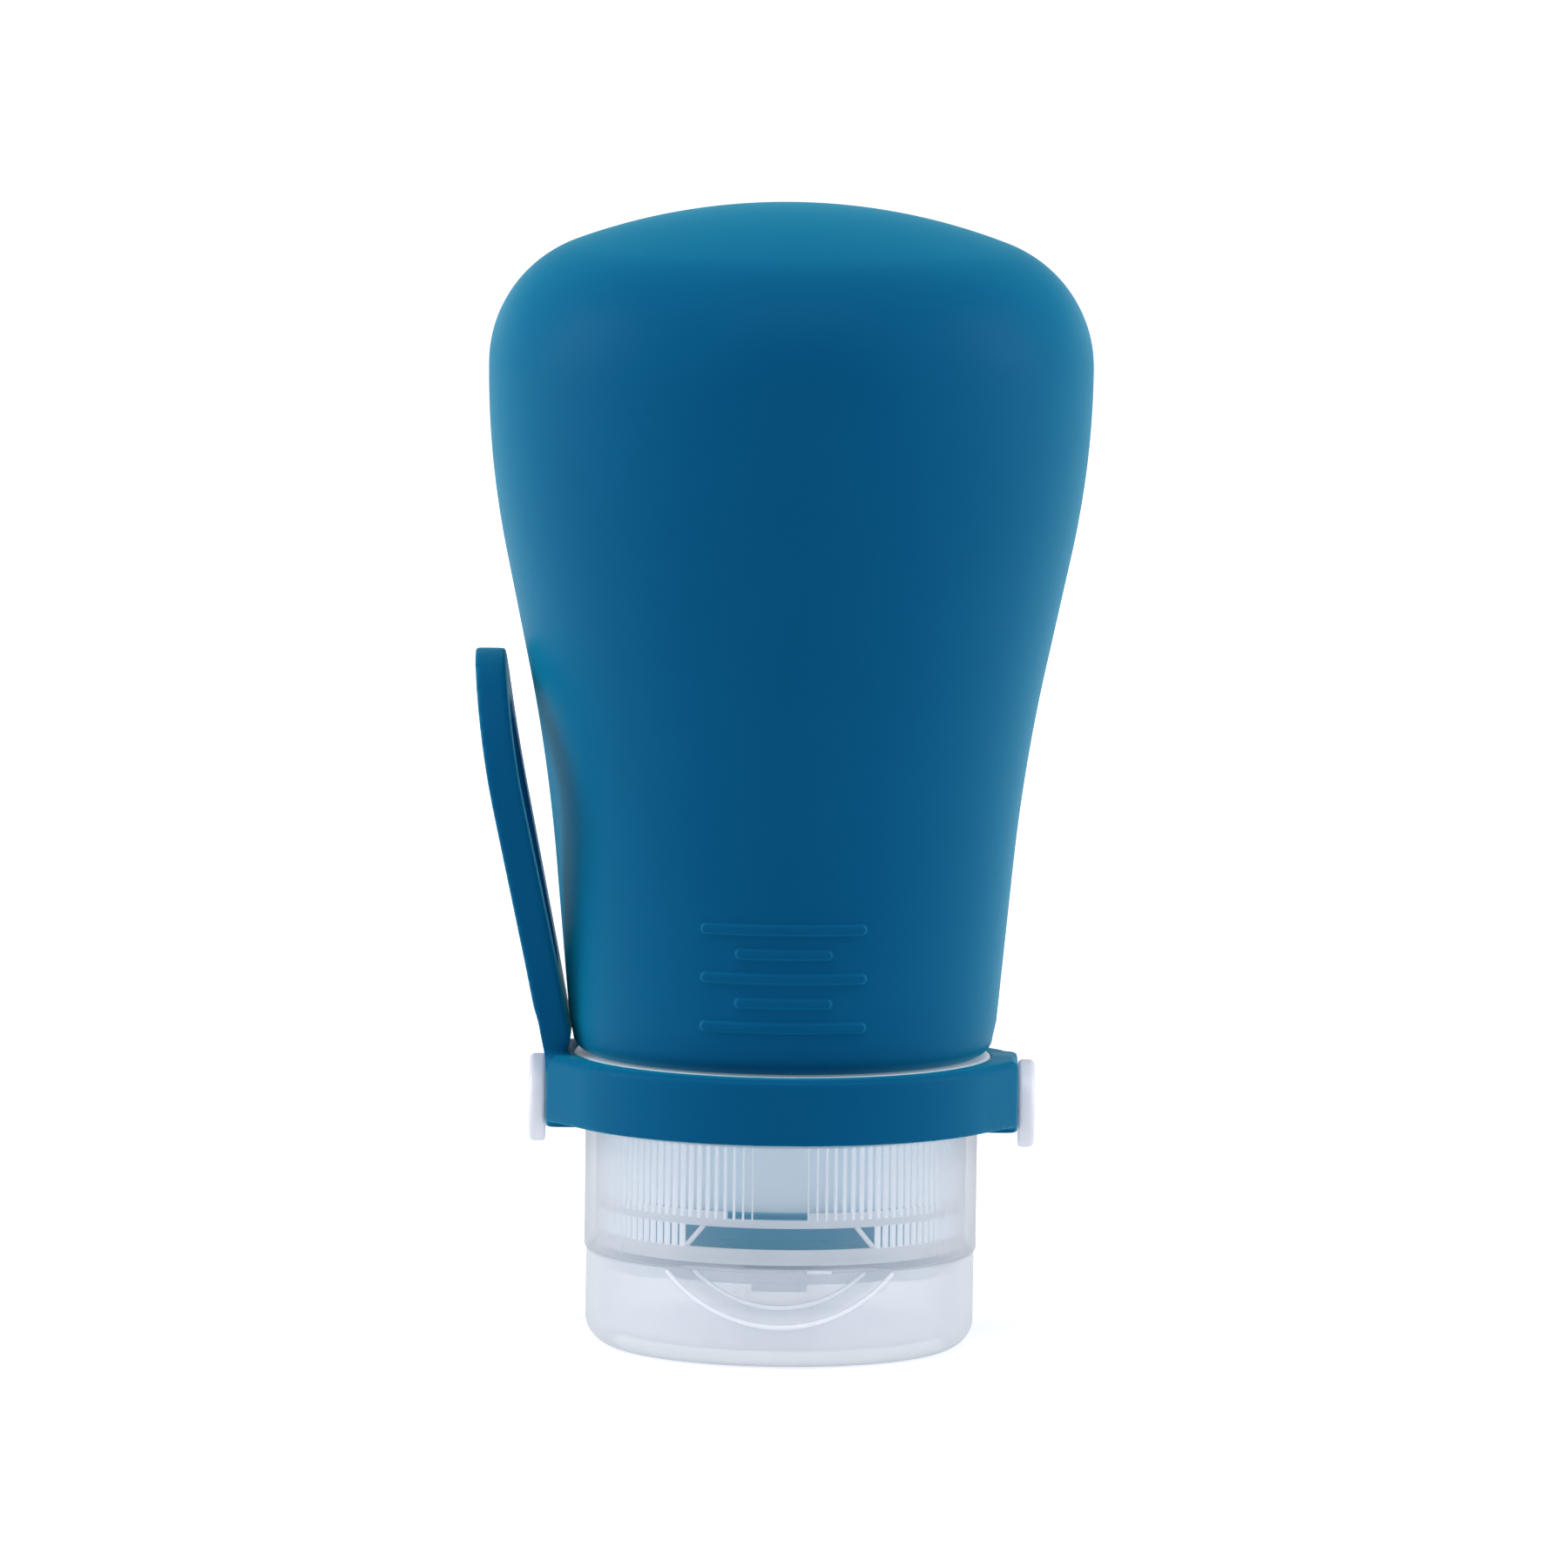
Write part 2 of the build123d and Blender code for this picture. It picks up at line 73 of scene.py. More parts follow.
body_high = in_mm("silicone_body")[1]
sleeve_low, sleeve_high = in_mm("neck_sleeve")
cap_high = in_mm("cap_base")[1]
lid_high = in_mm("flip_lid")[1]
band_low, band_high = in_mm("carry_band")
loop_low = in_mm("carry_loop")[0]
stud_low, stud_high = in_mm("stud_right")

# Heights in the lid and the cap, from the rest face up.
LID_RIM = 7.45
PARTING = 7.5
PLATE = (8.0, 9.0)
LOWER_RIBS = (9.2, 10.85)
UPPER_RIBS = (11.5, 17.0)
CAP_TOP = 17.2
# The collar's top and the bottle's foot are a little lower than in the solids.
COLLAR_TOP = sleeve_high.z - 0.75
BODY_BOTTOM = COLLAR_TOP + 0.05
STUD_HEIGHT = (stud_low.z + stud_high.z) / 2

# The hinge's axis runs along X, at this place in Y and Z.
HINGE = (16.45, 7.5)
HINGE_EYE = 1.2
HINGE_WEB = 1.15

THREAD_PITCH = 2.4
THREAD_ROOT = 0.45
THREAD_CREST = 0.25

# Overlap of two mouldings that are one in reality.
OVERLAP = 0.05


def linear(code):
    """Scene-linear colour with full alpha from an sRGB hex code."""
    values = [int(code[i : i + 2], 16) / 255 for i in (1, 3, 5)]
    return tuple(v / 12.92 if v <= 0.04045 else ((v + 0.055) / 1.055) ** 2.4 for v in values) + (1.0,)


# Sizes and colours that a user would change


def length(name, description, default, least=0.0):
    """Property for a length, given in millimetres."""
    return FloatProperty(
        name=name, description=description, default=default * MM, min=least * MM, unit="LENGTH"
    )


def colour(name, description, code):
    """Property for a colour, given as a hex code."""
    return FloatVectorProperty(
        name=name, description=description, default=linear(code), subtype="COLOR", size=4, min=0, max=1
    )


class BottleSizes(bpy.types.PropertyGroup):
    """Sizes of the parts that the eye sees first."""

    mark_relief: length("Mark relief", "Height of the raised level lines above the bottle's front", 0.25)
    soft_edge: length("Soft edge", "Voxel that rounds the edges of the band and the loop", 0.175, 0.1)
    rib_count: IntProperty(
        name="Ribs",
        description="Ribs round the inside of the cap, as if none were left out",
        default=124,
        min=12,
    )
    rib_width: length("Rib width", "Width of one rib inside the cap", 0.56, 0.1)
    scoop_depth: length("Scoop depth", "Depth of the thumb scoop in the lid's front", 1.6)
    scoop_bevel: length("Scoop bevel", "Width of the slope round the thumb scoop", 1.35, 0.1)


class BottleColours(bpy.types.PropertyGroup):
    """Colours of the mouldings."""

    silicone: colour("Silicone", "Pigment of the bottle, the band and the loop", "#07527E")
    silicone_light: colour(
        "Silicone, light patches", "Slightly paler cloudiness of the silicone", "#0A5886"
    )
    cap: colour("Cap", "Milky tone of the translucent cap and lid", "#DCE2EA")
    # Painted shade: the rim under the plate has a darker tone than the rest of the cap.
    rim: colour("Cap, rim", "Tone of the shaded rim between the cap and the lid", "#B6C2D2")
    # Painted highlight: the glowing rods along the lid's scoop and the cap's window have this tone.
    edge: colour(
        "Cap, edges", "Tone of the translucent plastic where light gathers in an edge", "#F4F8FF"
    )
    white: colour("White plastic", "Tone of the studs", "#EAEBF3")
    sleeve: colour("Sleeve", "Tone of the white neck sleeve and its collar", "#D2E2EC")


# Outlines and shapes. A shape is a pair: points in millimetres, and faces.


def arc(centre, radius, start, end, steps):
    """Points of a circular arc between two angles in degrees."""
    turns = np.radians(np.linspace(start, end, steps))
    return [(centre[0] + radius * math.cos(t), centre[1] + radius * math.sin(t)) for t in turns]


def rounded(corners, steps=5):
    """Closed outline from (x, z, radius) corners, each rounded by its radius."""
    points = []
    count = len(corners)
    for i, (x, z, radius) in enumerate(corners):
        here = Vector((x, z))
        if not radius:
            points.append((x, z))
            continue
        back = (Vector(corners[i - 1][:2]) - here).normalized()
        ahead = (Vector(corners[(i + 1) % count][:2]) - here).normalized()
        half = back.angle(ahead) / 2
        middle = here + (back + ahead).normalized() * (radius / math.sin(half))
        start = here + back * (radius / math.tan(half))
        end = here + ahead * (radius / math.tan(half))
        first = (start - middle).normalized()
        last = (end - middle).normalized()
        for k in range(steps + 1):
            spoke = first.slerp(last, k / steps) * radius
            points.append(tuple(middle + spoke))
    return points


def ring_section(bore, radius, low, high, rounds):
    """Section of a ring, with a radius for each corner from the bore's foot outwards."""
    corners = ((bore, low), (radius, low), (radius, high), (bore, high))
    return rounded([(x, z, r) for (x, z), r in zip(corners, rounds)])


def eased(values):
    """Smooth step of values, flat below 0 and above 1."""
    t = np.clip(values, 0, 1)
    return t * t * (3 - 2 * t)


def fade(values, start, distance):
    """Smooth step of values from a start over a distance."""
    return eased((values - start) / distance)


def grid(points, wrap_rows, wrap_columns):
    """Quads over a (rows, columns, 3) array of points."""
    rows, columns = points.shape[:2]
    faces = []
    for i in range(rows if wrap_rows else rows - 1):
        k = (i + 1) % rows
        for j in range(columns if wrap_columns else columns - 1):
            n = (j + 1) % columns
            faces.append((i * columns + j, i * columns + n, k * columns + n, k * columns + j))
    return points.reshape(-1, 3), faces


def end_faces(rows, columns):
    """Faces over the first and the last column of a grid."""
    return [tuple(i * columns + k for i in range(rows)) for k in (0, columns - 1)]


def spread(outline, angles):
    """Radius and height of an outline's points, as arrays with a column for each angle."""
    return np.array(outline, float).T[:, :, None] + 0 * angles


def revolved(radius, angles, height):
    """Points at angles round the Z axis."""
    return np.stack([radius * np.cos(angles), radius * np.sin(angles), height], 2)


def turned(outline, columns=240, start=0.0, end=360.0, closed=True):
    """Outline of (radius, height) turned about the Z axis, capped if it stops short."""
    whole = end - start >= 360
    count = columns if whole else columns + 1
    angles = np.radians(start + (end - start) * np.arange(count) / columns)
    radius, height = spread(outline, angles)
    shape, faces = grid(revolved(radius, angles, height), closed, whole)
    if not whole:
        faces += end_faces(len(outline), count)
    return shape, faces


def screw_thread(root, crest, start, columns=96):
    """One turn of a right-hand thread, from its root radius to its crest radius."""
    ridge = [(root, -THREAD_ROOT), (crest, -THREAD_CREST), (crest, THREAD_CREST), (root, THREAD_ROOT)]
    t = np.linspace(0, 1, columns)
    radius, height = spread(ridge, t)
    points = revolved(radius, 2 * math.pi * t, height + start + THREAD_PITCH * t)
    shape, faces = grid(points, True, False)
    return shape, faces + end_faces(len(ridge), columns)


def front_first(half, across, rest):
    """Angles round the axis, closer together within a half angle of the -Y direction."""
    front = np.linspace(-half, half, across)
    others = np.linspace(half, 360 - half, rest)[1:-1]
    return np.radians(np.concatenate([front, others]) - 90)


def side_angle(x, radius):
    """Degrees from the -Y direction to a place at x on a circle."""
    return math.degrees(math.asin(x / radius))


def block(low, high):
    """Box between two corners."""
    x, y, z = zip(low, high)
    points = np.array([(a, b, c) for a in x for b in y for c in z], float)
    faces = [(0, 1, 3, 2), (4, 6, 7, 5), (0, 4, 5, 1), (2, 3, 7, 6), (0, 2, 6, 4), (1, 5, 7, 3)]
    return points, faces


def rod_along(places, radius, columns=12):
    """Round rod through a few places, with flat ends."""
    points = np.zeros((len(places), columns, 3))
    for k, place in enumerate(places):
        ahead = places[min(k + 1, len(places) - 1)] - places[max(k - 1, 0)]
        side = ahead.cross(Vector((0, 1, 0))).normalized()
        up = side.cross(ahead).normalized()
        for j in range(columns):
            t = 2 * math.pi * j / columns
            points[k, j] = place + (side * math.cos(t) + up * math.sin(t)) * radius
    shape, faces = grid(points, False, True)
    last = (len(places) - 1) * columns
    return shape, faces + [tuple(range(k, k + columns)) for k in (0, last)]


def placed(shape, matrix):
    """Shape moved by a 4 x 4 matrix."""
    points = np.c_[shape[0], np.ones(len(shape[0]))] @ np.array(matrix).T
    return points[:, :3], shape[1]


def together(*shapes):
    """Several shapes as one."""
    points, faces, base = [], [], 0
    for shape in shapes:
        points.append(shape[0])
        faces += [tuple(base + i for i in face) for face in shape[1]]
        base += len(shape[0])
    return np.vstack(points), faces


def on_hinge(shape):
    """Shape with its Z axis laid along the hinge's axis."""
    turn = Matrix.Rotation(math.pi / 2, 4, "Y")
    return placed(shape, Matrix.Translation((0, *HINGE)) @ turn)


def new_mesh(name, shape):
    """Mesh of a shape, scaled to metres."""
    mesh = bpy.data.meshes.new(name)
    mesh.from_pydata([tuple(p * MM) for p in shape[0]], [], shape[1])
    return mesh


def new_piece(name, data):
    """Object of a mesh, lamp or camera, in the scene."""
    piece = bpy.data.objects.new(name, data)
    bpy.context.scene.collection.objects.link(piece)
    return piece


def mesh_piece(name, shape, material):
    """Object from a shape, closed, facing out and smooth."""
    mesh = new_mesh(name, shape)
    edit = bmesh.new()
    edit.from_mesh(mesh)
    bmesh.ops.remove_doubles(edit, verts=edit.verts, dist=1e-7)
    bmesh.ops.dissolve_degenerate(edit, edges=edit.edges, dist=1e-8)
    bmesh.ops.recalc_face_normals(edit, faces=edit.faces)
    edit.to_mesh(mesh)
    edit.free()
    mesh.shade_smooth()
    mesh.materials.append(material)
    return new_piece(name, mesh)


def evaluated(piece, name):
    """Replaces an object's mesh by its evaluated one and drops its modifiers."""
    graph = bpy.context.evaluated_depsgraph_get()
    mesh = bpy.data.meshes.new_from_object(piece.evaluated_get(graph))
    piece.modifiers.clear()
    piece.data = mesh
    mesh.name = name
    mesh.shade_smooth()
    if not len(mesh.vertices):
        raise RuntimeError(f"{name} came out empty")


def sharpened(piece, angle=50):
    """Keeps edges crisp where two faces meet at more than an angle in degrees."""
    piece.data.set_sharp_from_angle(angle=math.radians(angle))


def mounted(piece, body, slot, *nodes):
    """Puts a piece on its body and hides the frame nodes it stands for. The slot is not used."""
    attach(piece, body)
    if nodes:
        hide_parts(*nodes)


def crisp(name, shape, key, body, slot, *nodes, angle=50):
    """Piece from a shape in a finish, mounted, with crisp edges."""
    piece = mesh_piece(name, shape, finish(key))
    sharpened(piece, angle)
    mounted(piece, body, slot, *nodes)


# Materials

# Sockets of a Mix node that mixes colours: its first and second colour and its result.
MIX_A = 6
MIX_B = 7
MIX_RESULT = 2


def add(tree, kind, inputs=(), **settings):
    """Adds a node with its settings and its inputs, values or links, and gives its outputs."""
    node = tree.nodes.new(kind)
    for key, value in settings.items():
        setattr(node, key, value)
    for key, value in dict(inputs).items():
        if isinstance(value, bpy.types.NodeSocket):
            tree.links.new(value, node.inputs[key])
        else:
            node.inputs[key].default_value = value
    return node.outputs


def new_material(name):
    """Empty node material, its tree and its Object coordinates."""
    material = bpy.data.materials.new(name)
    material.use_nodes = True
    tree = material.node_tree
    tree.nodes.clear()
    return material, tree, add(tree, "ShaderNodeTexCoord")["Object"]


def per_mm(size):
    """Noise scale for a feature of a size in millimetres on metre coordinates."""
    return 1 / (size * MM)


def darker(tone, share):
    """Colour at a share of its brightness."""
    return [share * v for v in tone[:3]] + [1.0]


def fine_skin(tree, place, size, strength, depth=0.01, roughness=0.5):
    """Pattern of a moulding's fine skin, its size and depth in millimetres, and its normal."""
    noise = {"Vector": place, "Scale": per_mm(size), "Detail": 2.0, "Roughness": roughness}
    grain = add(tree, "ShaderNodeTexNoise", noise)["Fac"]
    bump = add(tree, "ShaderNodeBump", {"Height": grain, "Strength": strength, "Distance": depth * MM})
    return grain, bump[0]


def silicone_rubber(name, colours, glow):
    """Silicone rubber, compression moulded: satin, with a fine spark-eroded grain."""
    # Soft sheen at grazing angles and a slight cloudiness tell rubber from plastic.
    # The glow stands for light that the milky cap passes on to the rubber inside it.
    material, tree, place = new_material(name)
    cloud = add(tree, "ShaderNodeTexNoise", {"Vector": place, "Scale": per_mm(14), "Detail": 3.0})["Fac"]
    mix = {"Factor": cloud, MIX_A: colours.silicone, MIX_B: colours.silicone_light}
    tone = add(tree, "ShaderNodeMix", mix, data_type="RGBA")[MIX_RESULT]
    # Painted sheen: the colour turns to a paler teal where the surface is seen edge-on.
    edge_on = add(tree, "ShaderNodeLayerWeight", {"Blend": 0.5})["Facing"]
    painted_sheen_share = add(tree, "ShaderNodeMath", {0: edge_on, 1: 2.0}, operation="POWER")[0]
    mix = {"Factor": painted_sheen_share, MIX_A: tone, MIX_B: linear("#0E80A8")}
    painted_sheen_tone = add(tree, "ShaderNodeMix", mix, data_type="RGBA")[MIX_RESULT]
    gloss = add(tree, "ShaderNodeMath", {0: edge_on, 1: 6.0}, operation="POWER")[0]
    level = add(tree, "ShaderNodeMapRange", {"Value": gloss, "To Min": 0.1, "To Max": 0.5})[0]
    # The real grain is about 0.05 mm. It is drawn at 0.25 mm so that it shows.
    grain, normal = fine_skin(tree, place, size=0.25, strength=0.25, roughness=0.6)
    rough = add(tree, "ShaderNodeMapRange", {"Value": grain, "To Min": 0.4, "To Max": 0.5})[0]
    shader = add(
        tree,
        "ShaderNodeBsdfPrincipled",
        {
            "Base Color": painted_sheen_tone,
            "Roughness": rough,
            "IOR": 1.43,
            "Normal": normal,
            "Specular IOR Level": level,
            "Specular Tint": linear("#48B4DC"),
            "Sheen Weight": 0.3,
            "Sheen Roughness": 0.5,
            "Sheen Tint": linear("#10CDE6"),
            "Emission Color": linear("#00596A"),
            "Emission Strength": glow,
        },
    )
    add(tree, "ShaderNodeOutputMaterial", {"Surface": shader[0]})
    return material


def white_polypropylene(name, tint, glow):
    """White polypropylene, injection moulded: smooth, slightly waxy, cool white."""
    # The glow stands for light scattered inside the plastic and through the cap.
    material, tree, place = new_material(name)
    # Faint flow cloudiness of a small moulding, about 3 mm across.
    flow = add(tree, "ShaderNodeTexNoise", {"Vector": place, "Scale": per_mm(3), "Detail": 2.0})["Fac"]
    mix = {"Factor": flow, MIX_A: tint, MIX_B: darker(tint, 0.95)}
    tone = add(tree, "ShaderNodeMix", mix, data_type="RGBA")[MIX_RESULT]
    # Polished steel leaves a faint texture. It is drawn at 0.3 mm so that it shows.
    normal = fine_skin(tree, place, size=0.3, strength=0.12)[1]
    shader = add(
        tree,
        "ShaderNodeBsdfPrincipled",
        {
            "Base Color": tone,
            "Roughness": 0.32,
            "IOR": 1.49,
            "Normal": normal,
            "Emission Color": tint,
            "Emission Strength": glow,
        },
    )
    add(tree, "ShaderNodeOutputMaterial", {"Surface": shader[0]})
    return material


def clear_polypropylene(name, tint, cover, glow, edge_cover=0.97):
    """Natural polypropylene, injection moulded: milky, see-through where it is thin."""
    # The cover is the share of light that the haze of one skin stops. A slow noise
    # moves it a little, as the wall's thickness does, and it grows to the edge's
    # cover where the wall is seen edge-on. The glow is light scattered in the wall.
    material, tree, place = new_material(name)
    flow = add(tree, "ShaderNodeTexNoise", {"Vector": place, "Scale": per_mm(6), "Detail": 2.0})["Fac"]
    limits = {"Value": flow, "To Min": 0.85 * cover, "To Max": 1.15 * cover}
    haze = add(tree, "ShaderNodeMapRange", limits)[0]
    edge_on = add(tree, "ShaderNodeLayerWeight", {"Blend": 0.5})["Facing"]
    deep = add(tree, "ShaderNodeMath", {0: edge_on, 1: 1.5}, operation="POWER")[0]
    # Painted shade: the tone darkens to about half where the wall is seen edge-on, so that the outline
    # does not light up under the side lamps.
    mix = {"Factor": deep, MIX_A: tint, MIX_B: darker(tint, 0.48)}
    tone = add(tree, "ShaderNodeMix", mix, data_type="RGBA")[MIX_RESULT]
    alpha = add(tree, "ShaderNodeMapRange", {"Value": deep, "To Min": haze, "To Max": edge_cover})[0]
    # Fine skin of the moulding, really about 0.1 mm, drawn at 0.3 mm.
    normal = fine_skin(tree, place, size=0.3, strength=0.08)[1]
    shader = add(
        tree,
        "ShaderNodeBsdfPrincipled",
        {
            "Base Color": tone,
            "Roughness": 0.22,
            "IOR": 1.49,
            "Specular IOR Level": 0.2,
            "Normal": normal,
            "Alpha": alpha,
            "Emission Color": tint,
            "Emission Strength": glow,
        },
    )
    add(tree, "ShaderNodeOutputMaterial", {"Surface": shader[0]})
    return material


finishes = {}


def finish(key):
    """Material for a kind of moulding, made once and shared by its pieces."""
    colours = bpy.context.scene.bottle_colours
    silicone, white, clear = silicone_rubber, white_polypropylene, clear_polypropylene
    # Each has its name, colour and glow. The glow is painted light: emission that stands for light
    # scattered through the milky plastic. A translucent one has its cover before the glow, and may have
    # its cover edge-on after it.
    recipes = {
        "silicone": (silicone, "moulded_silicone_rubber", colours, 0.0),
        "silicone_painted_glow": (silicone, "silicone_rubber_inside_cap", colours, 1.0),
        "white": (white, "moulded_white_polypropylene", colours.white, 0.12),
        "sleeve": (white, "shaded_white_polypropylene", colours.sleeve, 0.18),
        "skin": (clear, "polypropylene_thin_wall", colours.cap, 0.075, 0.13),
        "milky": (clear, "polypropylene_thick_wall", colours.cap, 0.7, 0.19),
        "rib": (clear, "polypropylene_rib", colours.cap, 0.85, 0.38),
        "lid": (clear, "polypropylene_lid_wall", colours.cap, 0.37, 0.28),
        "rim": (clear, "polypropylene_shaded_rim", colours.rim, 0.6, 0.06),
        "plug": (clear, "polypropylene_plug", colours.cap, 0.04, 0.15, 0.2),
        # Painted highlight for the bright rods along edges.
        "edge": (clear, "polypropylene_bright_edge", colours.edge, 0.7, 0.15),
    }
    if key not in finishes:
        make, *values = recipes[key]
        finishes[key] = make(*values)
    return finishes[key]


# Silicone bottle

# The side runs through arcs of these radii: dome, corner, bulge and hollow. It
# tilts by TILT, in degrees, between the last two, and by FOOT_TILT at the foot.
BODY_RADIUS = body_high.y - 0.01
DOME = 47.5
CORNER = 10.0
BULGE = 70.0
HOLLOW = 136.0
TILT = 11.9
FOOT_TILT = 5.3
# Heights where the body is widest and where the hollow starts.
WIDEST = 76.0
HOLLOW_START = 53.0
BODY_WALL = 2.0
FOOT_ROUND = 1.4
SHOULDER = 25.75
SHOULDER_ROUND = 1.5
# Bore and radius of the neck.
NECK = (9.1, 10.9)
# Low and high face of the folded lip, and its radius.
LIP = (9.7, 11.7, 12.9)
LIP_SKIN = 0.02


def flank(inset, steps=28):
    """Side outline from the apex down to where the straight foot starts."""
    reach = DOME - CORNER
    corner_x = BODY_RADIUS - CORNER
    dome_z = WIDEST - math.sqrt(reach**2 - corner_x**2)
    lean = math.degrees(math.asin(corner_x / reach))
    tilt = math.radians(TILT)
    bulge_end = (BODY_RADIUS - BULGE * (1 - math.cos(tilt)), WIDEST - BULGE * math.sin(tilt))
    straight_x = bulge_end[0] - (bulge_end[1] - HOLLOW_START) * math.tan(tilt)
    hollow = (straight_x + HOLLOW * math.cos(tilt), HOLLOW_START - HOLLOW * math.sin(tilt))
    points = arc((0, dome_z), DOME - inset, 90, 90 - lean, steps)
    points += arc((corner_x, WIDEST), CORNER - inset, 90 - lean, 0, steps)[1:]
    points += arc((BODY_RADIUS - BULGE, WIDEST), BULGE - inset, 0, -TILT, steps)[1:]
    points += arc(hollow, HOLLOW + inset, 180 - TILT, 180 - FOOT_TILT, steps)
    return points


def foot_radius(inset, height):
    """Radius of the straight foot at a height."""
    x, z = flank(inset)[-1]
    return x - (z - height) * math.tan(math.radians(FOOT_TILT))


# Level lines, long and short by turns: the middle one's height, their spacing,
# their half lengths, half their thickness, and the shoulder each side of their edge.
MARK_MIDDLE = 30.4
MARK_STEP = 1.9
MARK_LENGTHS = (5.9, 3.3)
MARK_HALF = 0.35
MARK_SHOULDER = 0.12
MARKS = [(MARK_MIDDLE + k * MARK_STEP, MARK_LENGTHS[k % 2]) for k in range(-2, 3)]
# The bottle's side has rows this close together over the lines and this margin.
MARK_ROW = 0.09
MARK_MARGIN = 1.2


def mark_cover(x, z):
    """Share of the full relief at places on the front, with rounded shoulders."""
    cover = np.zeros_like(x)
    for height, half in MARKS:
        reach = np.hypot(np.maximum(np.abs(x) - half, 0), z - height)
        step = eased((MARK_HALF + MARK_SHOULDER - reach) / (2 * MARK_SHOULDER))
        cover = np.maximum(cover, step)
    return cover


def bottle_shape(relief):
    """Closed hollow bottle with its neck, lip and raised level lines."""
    outer = flank(0)
    low, high = MARKS[0][0] - MARK_MARGIN, MARKS[-1][0] + MARK_MARGIN
    heights = [high + 1.0] + list(np.arange(high, low, -MARK_ROW))
    outer += [(foot_radius(0, z), z) for z in heights]
    foot = foot_radius(0, BODY_BOTTOM)
    shoulder_x = foot_radius(BODY_WALL, SHOULDER)
    lip_low, lip_high, lip_radius = LIP
    lower = rounded(
        [
            (foot, low, 0),
            (foot - 0.05, BODY_BOTTOM, FOOT_ROUND),
            (NECK[1], BODY_BOTTOM, 0.3),
            (NECK[1], lip_high, 0.2),
            (lip_radius, lip_high, 0.15),
            (lip_radius, lip_low, 0.1),
            (NECK[0], lip_low, 0.4),
            (NECK[0], SHOULDER, SHOULDER_ROUND),
            (shoulder_x, SHOULDER, SHOULDER_ROUND),
            (shoulder_x + 0.1, SHOULDER + 2, 0),
        ]
    )
    inner = [p for p in reversed(flank(BODY_WALL, steps=10)) if p[1] > SHOULDER + 4]
    inner[-1] = (0, inner[-1][1])
    outline = outer + lower[1:] + inner
    outline[0] = (0, outline[0][1])
    # Columns are close together across the front, where the lines are.
    angles = front_first(half=26, across=190, rest=130)
    radius, height = spread(outline, angles)
    front_face = (radius * np.sin(angles) < 0) & (radius > foot_radius(0.5, low))
    zone = front_face & (height > low) & (height < high)
    cover = mark_cover(radius * np.cos(angles), height)
    radius = radius + np.where(zone, relief * cover, 0)
    return grid(revolved(radius, angles, height), False, True)


class BOTTLE_OT_body(bpy.types.Operator):
    """Builds the hollow silicone bottle with its raised level lines"""

    bl_idname = "bottle.body"
    bl_label = "Silicone bottle"

    def execute(self, context):
        shape = bottle_shape(context.scene.bottle_sizes.mark_relief / MM)
        crisp("bottle_body", shape, "silicone", "bottle", "teal_silicone", "silicone_body")

        # The lip's rim, a hair outside the bottle's own skin, is seen through the cap. This skin glows
        # with painted light, for the light that the milky cap passes on to it.
        low, high, radius = LIP[0] - LIP_SKIN, LIP[1] + LIP_SKIN, LIP[2] + LIP_SKIN
        rim = ring_section(LIP[2] - 1, radius, low, high, (0, 0.1, 0.15, 0))
        crisp("bottle_lip_glowing_skin", turned(rim), "silicone_painted_glow", "bottle", "teal_silicone")
        return {"FINISHED"}


# Band with its loop, one soft moulding

# Outer radius of the band in front and behind, its bore and its rounded edge.
BAND_RADIUS = 18.0
BAND_BACK = 17.1
BAND_BORE = 16.4
EDGE_ROUND = 0.6
# Outer corner of a pad, in X and Y.
PAD = (18.2, 4.6)
PAD_TURN = math.atan2(PAD[1], PAD[0])
# Where a straight line from that corner touches the band's round face.
TOUCH_TURN = PAD_TURN + math.acos(BAND_RADIUS / math.hypot(*PAD))
# Middle of the loop's root and half its thickness and width.
ROOT_X = -17.8
ROOT_HEIGHT = loop_low.z + 1.175
ROOT_HALF = (1.1, 4.5)
# How far the loop stands nearer to the bottle, and how far its root turns out.
LOOP_LEAN = 0.3
ROOT_BEND = 0.42
# How far the band's upper edge comes down, and how much more at the right of the back.
EDGE_DROP = 0.2
BACK_DROP = 0.35


def cheek(side_x, side_y):
    """Wedge that carries the band's face straight on to a pad's outer corner."""
    touch = (BAND_RADIUS * math.cos(TOUCH_TURN), BAND_RADIUS * math.sin(TOUCH_TURN))
    inside = PAD[1] - 0.4
    plan = [(PAD[0], inside), PAD, touch, (touch[0] - 0.5, touch[1] - 0.5), (BAND_BORE, inside)]
    heights = (band_low.z + 0.5, band_high.z)
    points = [(side_x * x, side_y * y, z) for z in heights for x, y in plan]
    count = len(plan)
    faces = [tuple(range(count)), tuple(range(count, 2 * count))]
    faces += [(i, (i + 1) % count, (i + 1) % count + count, i + count) for i in range(count)]
    return np.array(points), faces


def band_reach(x, y):
    """Distance of the band's outer face from the axis, towards places in front."""
    turn = np.arctan2(-y, np.abs(x))
    face = PAD[0] / np.cos(np.minimum(turn, PAD_TURN))
    slope = BAND_RADIUS / np.cos(TOUCH_TURN - np.minimum(turn, TOUCH_TURN))
    return np.where(turn < PAD_TURN, face, slope)


